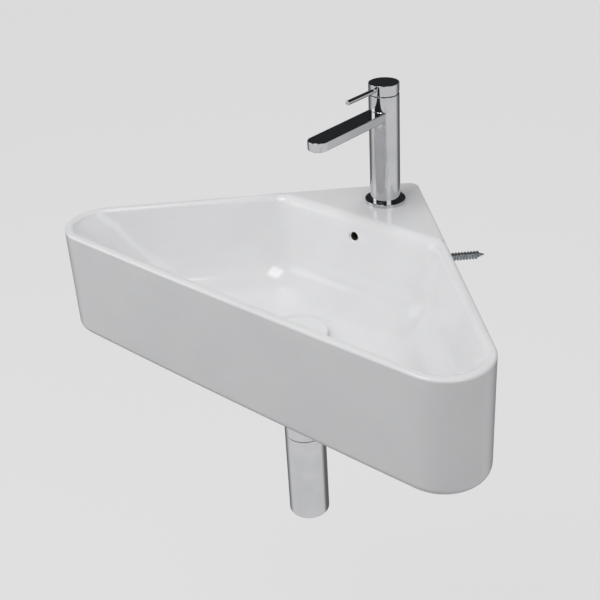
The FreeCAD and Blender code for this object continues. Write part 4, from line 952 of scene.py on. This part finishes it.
def paperWorld(values):              # lights evenly; camera and mirrors see paper, mirrors a dark ceiling too
    world = bpy.data.worlds.new("paperStudio")
    bpy.context.scene.world = world
    world.use_nodes = True
    tree = world.node_tree
    tree.nodes.clear()
    sky = addNode(tree, "ShaderNodeTexCoord", {})
    height = addNode(tree, "ShaderNodeSeparateXYZ", {}, [("Vector", sky.outputs["Generated"])])
    share = smoothStep(tree, height.outputs["Z"], values["ceilingStart"], values["ceilingFull"])
    seen = fadeColour(tree, values["paper"], values["ceiling"], share)
    lamp = addNode(tree, "ShaderNodeBackground", {"Color": (1, 1, 1, 1), "Strength": values["fill"]})
    mirror = addNode(tree, "ShaderNodeBackground", {"Strength": 1.0}, [("Color", seen)])
    paper = addNode(tree, "ShaderNodeBackground", {"Color": hexColour(values["paper"]), "Strength": 1.0})
    mirrored = anyRay(tree, ("Is Glossy Ray", "Is Transmission Ray"))
    inner = addNode(tree, "ShaderNodeMixShader", {}, [(0, mirrored), (1, lamp.outputs["Background"]),
                                                      (2, mirror.outputs["Background"])])
    camera = anyRay(tree, ("Is Camera Ray",))
    outer = addNode(tree, "ShaderNodeMixShader", {}, [(0, camera), (1, inner.outputs["Shader"]),
                                                      (2, paper.outputs["Background"])])
    addNode(tree, "ShaderNodeOutputWorld", {}, [("Surface", outer.outputs["Shader"])])


def farShare(tree, place, values):   # how far the floor has faded for a mirror
    turn = (0, 0, math.radians(values["farBearing"]))
    back = addNode(tree, "ShaderNodeMapping", {"Location": (0, values["farFrom"], 0), "Rotation": turn,
                                               "Scale": (1, 1, 0)}, [("Vector", place)])
    way = addNode(tree, "ShaderNodeVectorMath", {"operation": "NORMALIZE"}, [(0, back.outputs["Vector"])])
    spot = addNode(tree, "ShaderNodeSeparateXYZ", {}, [("Vector", way.outputs["Vector"])])
    fade = smoothStep(tree, spot.outputs["Y"], values["farStart"], values["farFull"])
    links = [(0, fade), (1, anyRay(tree, ("Is Glossy Ray", "Is Transmission Ray")))]
    return addNode(tree, "ShaderNodeMath", {"operation": "MULTIPLY"}, links).outputs["Value"]


def paperFloor(values):              # matt paper, nearly as bright as the world to camera and mirrors
    bm = bmesh.new()
    bmesh.ops.create_grid(bm, x_segments=1, y_segments=1, size=values["floorSize"] / 2)
    bmesh.ops.translate(bm, verts=bm.verts, vec=(0, 0, values["floorHeight"] * mm))
    floor = roughObject("paperFloor", bm)
    material, tree, place = startMaterial("paleStudioPaper")
    seen = anyRay(tree, ("Is Camera Ray", "Is Glossy Ray", "Is Transmission Ray"))
    lit = fadeColour(tree, values["bounce"], values["paper"], seen)
    paper = addNode(tree, "ShaderNodeBsdfDiffuse", {}, [("Color", lit)])
    shown = fadeColour(tree, values["paper"], values["far"], farShare(tree, place, values))
    glow = addNode(tree, "ShaderNodeEmission", {"Strength": 1.0}, [("Color", shown)])
    share = addNode(tree, "ShaderNodeMath", {"operation": "MULTIPLY", 1: values["floorGlow"]}, [(0, seen)])
    both = addNode(tree, "ShaderNodeMixShader", {}, [(0, share.outputs["Value"]), (1, paper.outputs["BSDF"]),
                                                     (2, glow.outputs["Emission"])])
    addNode(tree, "ShaderNodeOutputMaterial", {}, [("Surface", both.outputs["Shader"])])
    floor.data.materials.append(material)


def softBox(name, place, target, width, height, power):
    data = bpy.data.lights.new(name, "AREA")
    data.shape, data.size, data.size_y, data.energy = "RECTANGLE", width, height, power
    lamp = bpy.data.objects.new(name, data)
    aim = (Vector(target) - Vector(place)).to_track_quat("-Z", "Y").to_matrix().to_4x4()
    lamp.matrix_world = Matrix.Translation(place) @ aim
    bpy.context.scene.collection.objects.link(lamp)


paperWorld(studio)
paperFloor(studio)
for box in studio["boxes"]:
    softBox(*box)
bpy.context.scene.view_settings.view_transform = "Standard"
print("camera and studio ready")
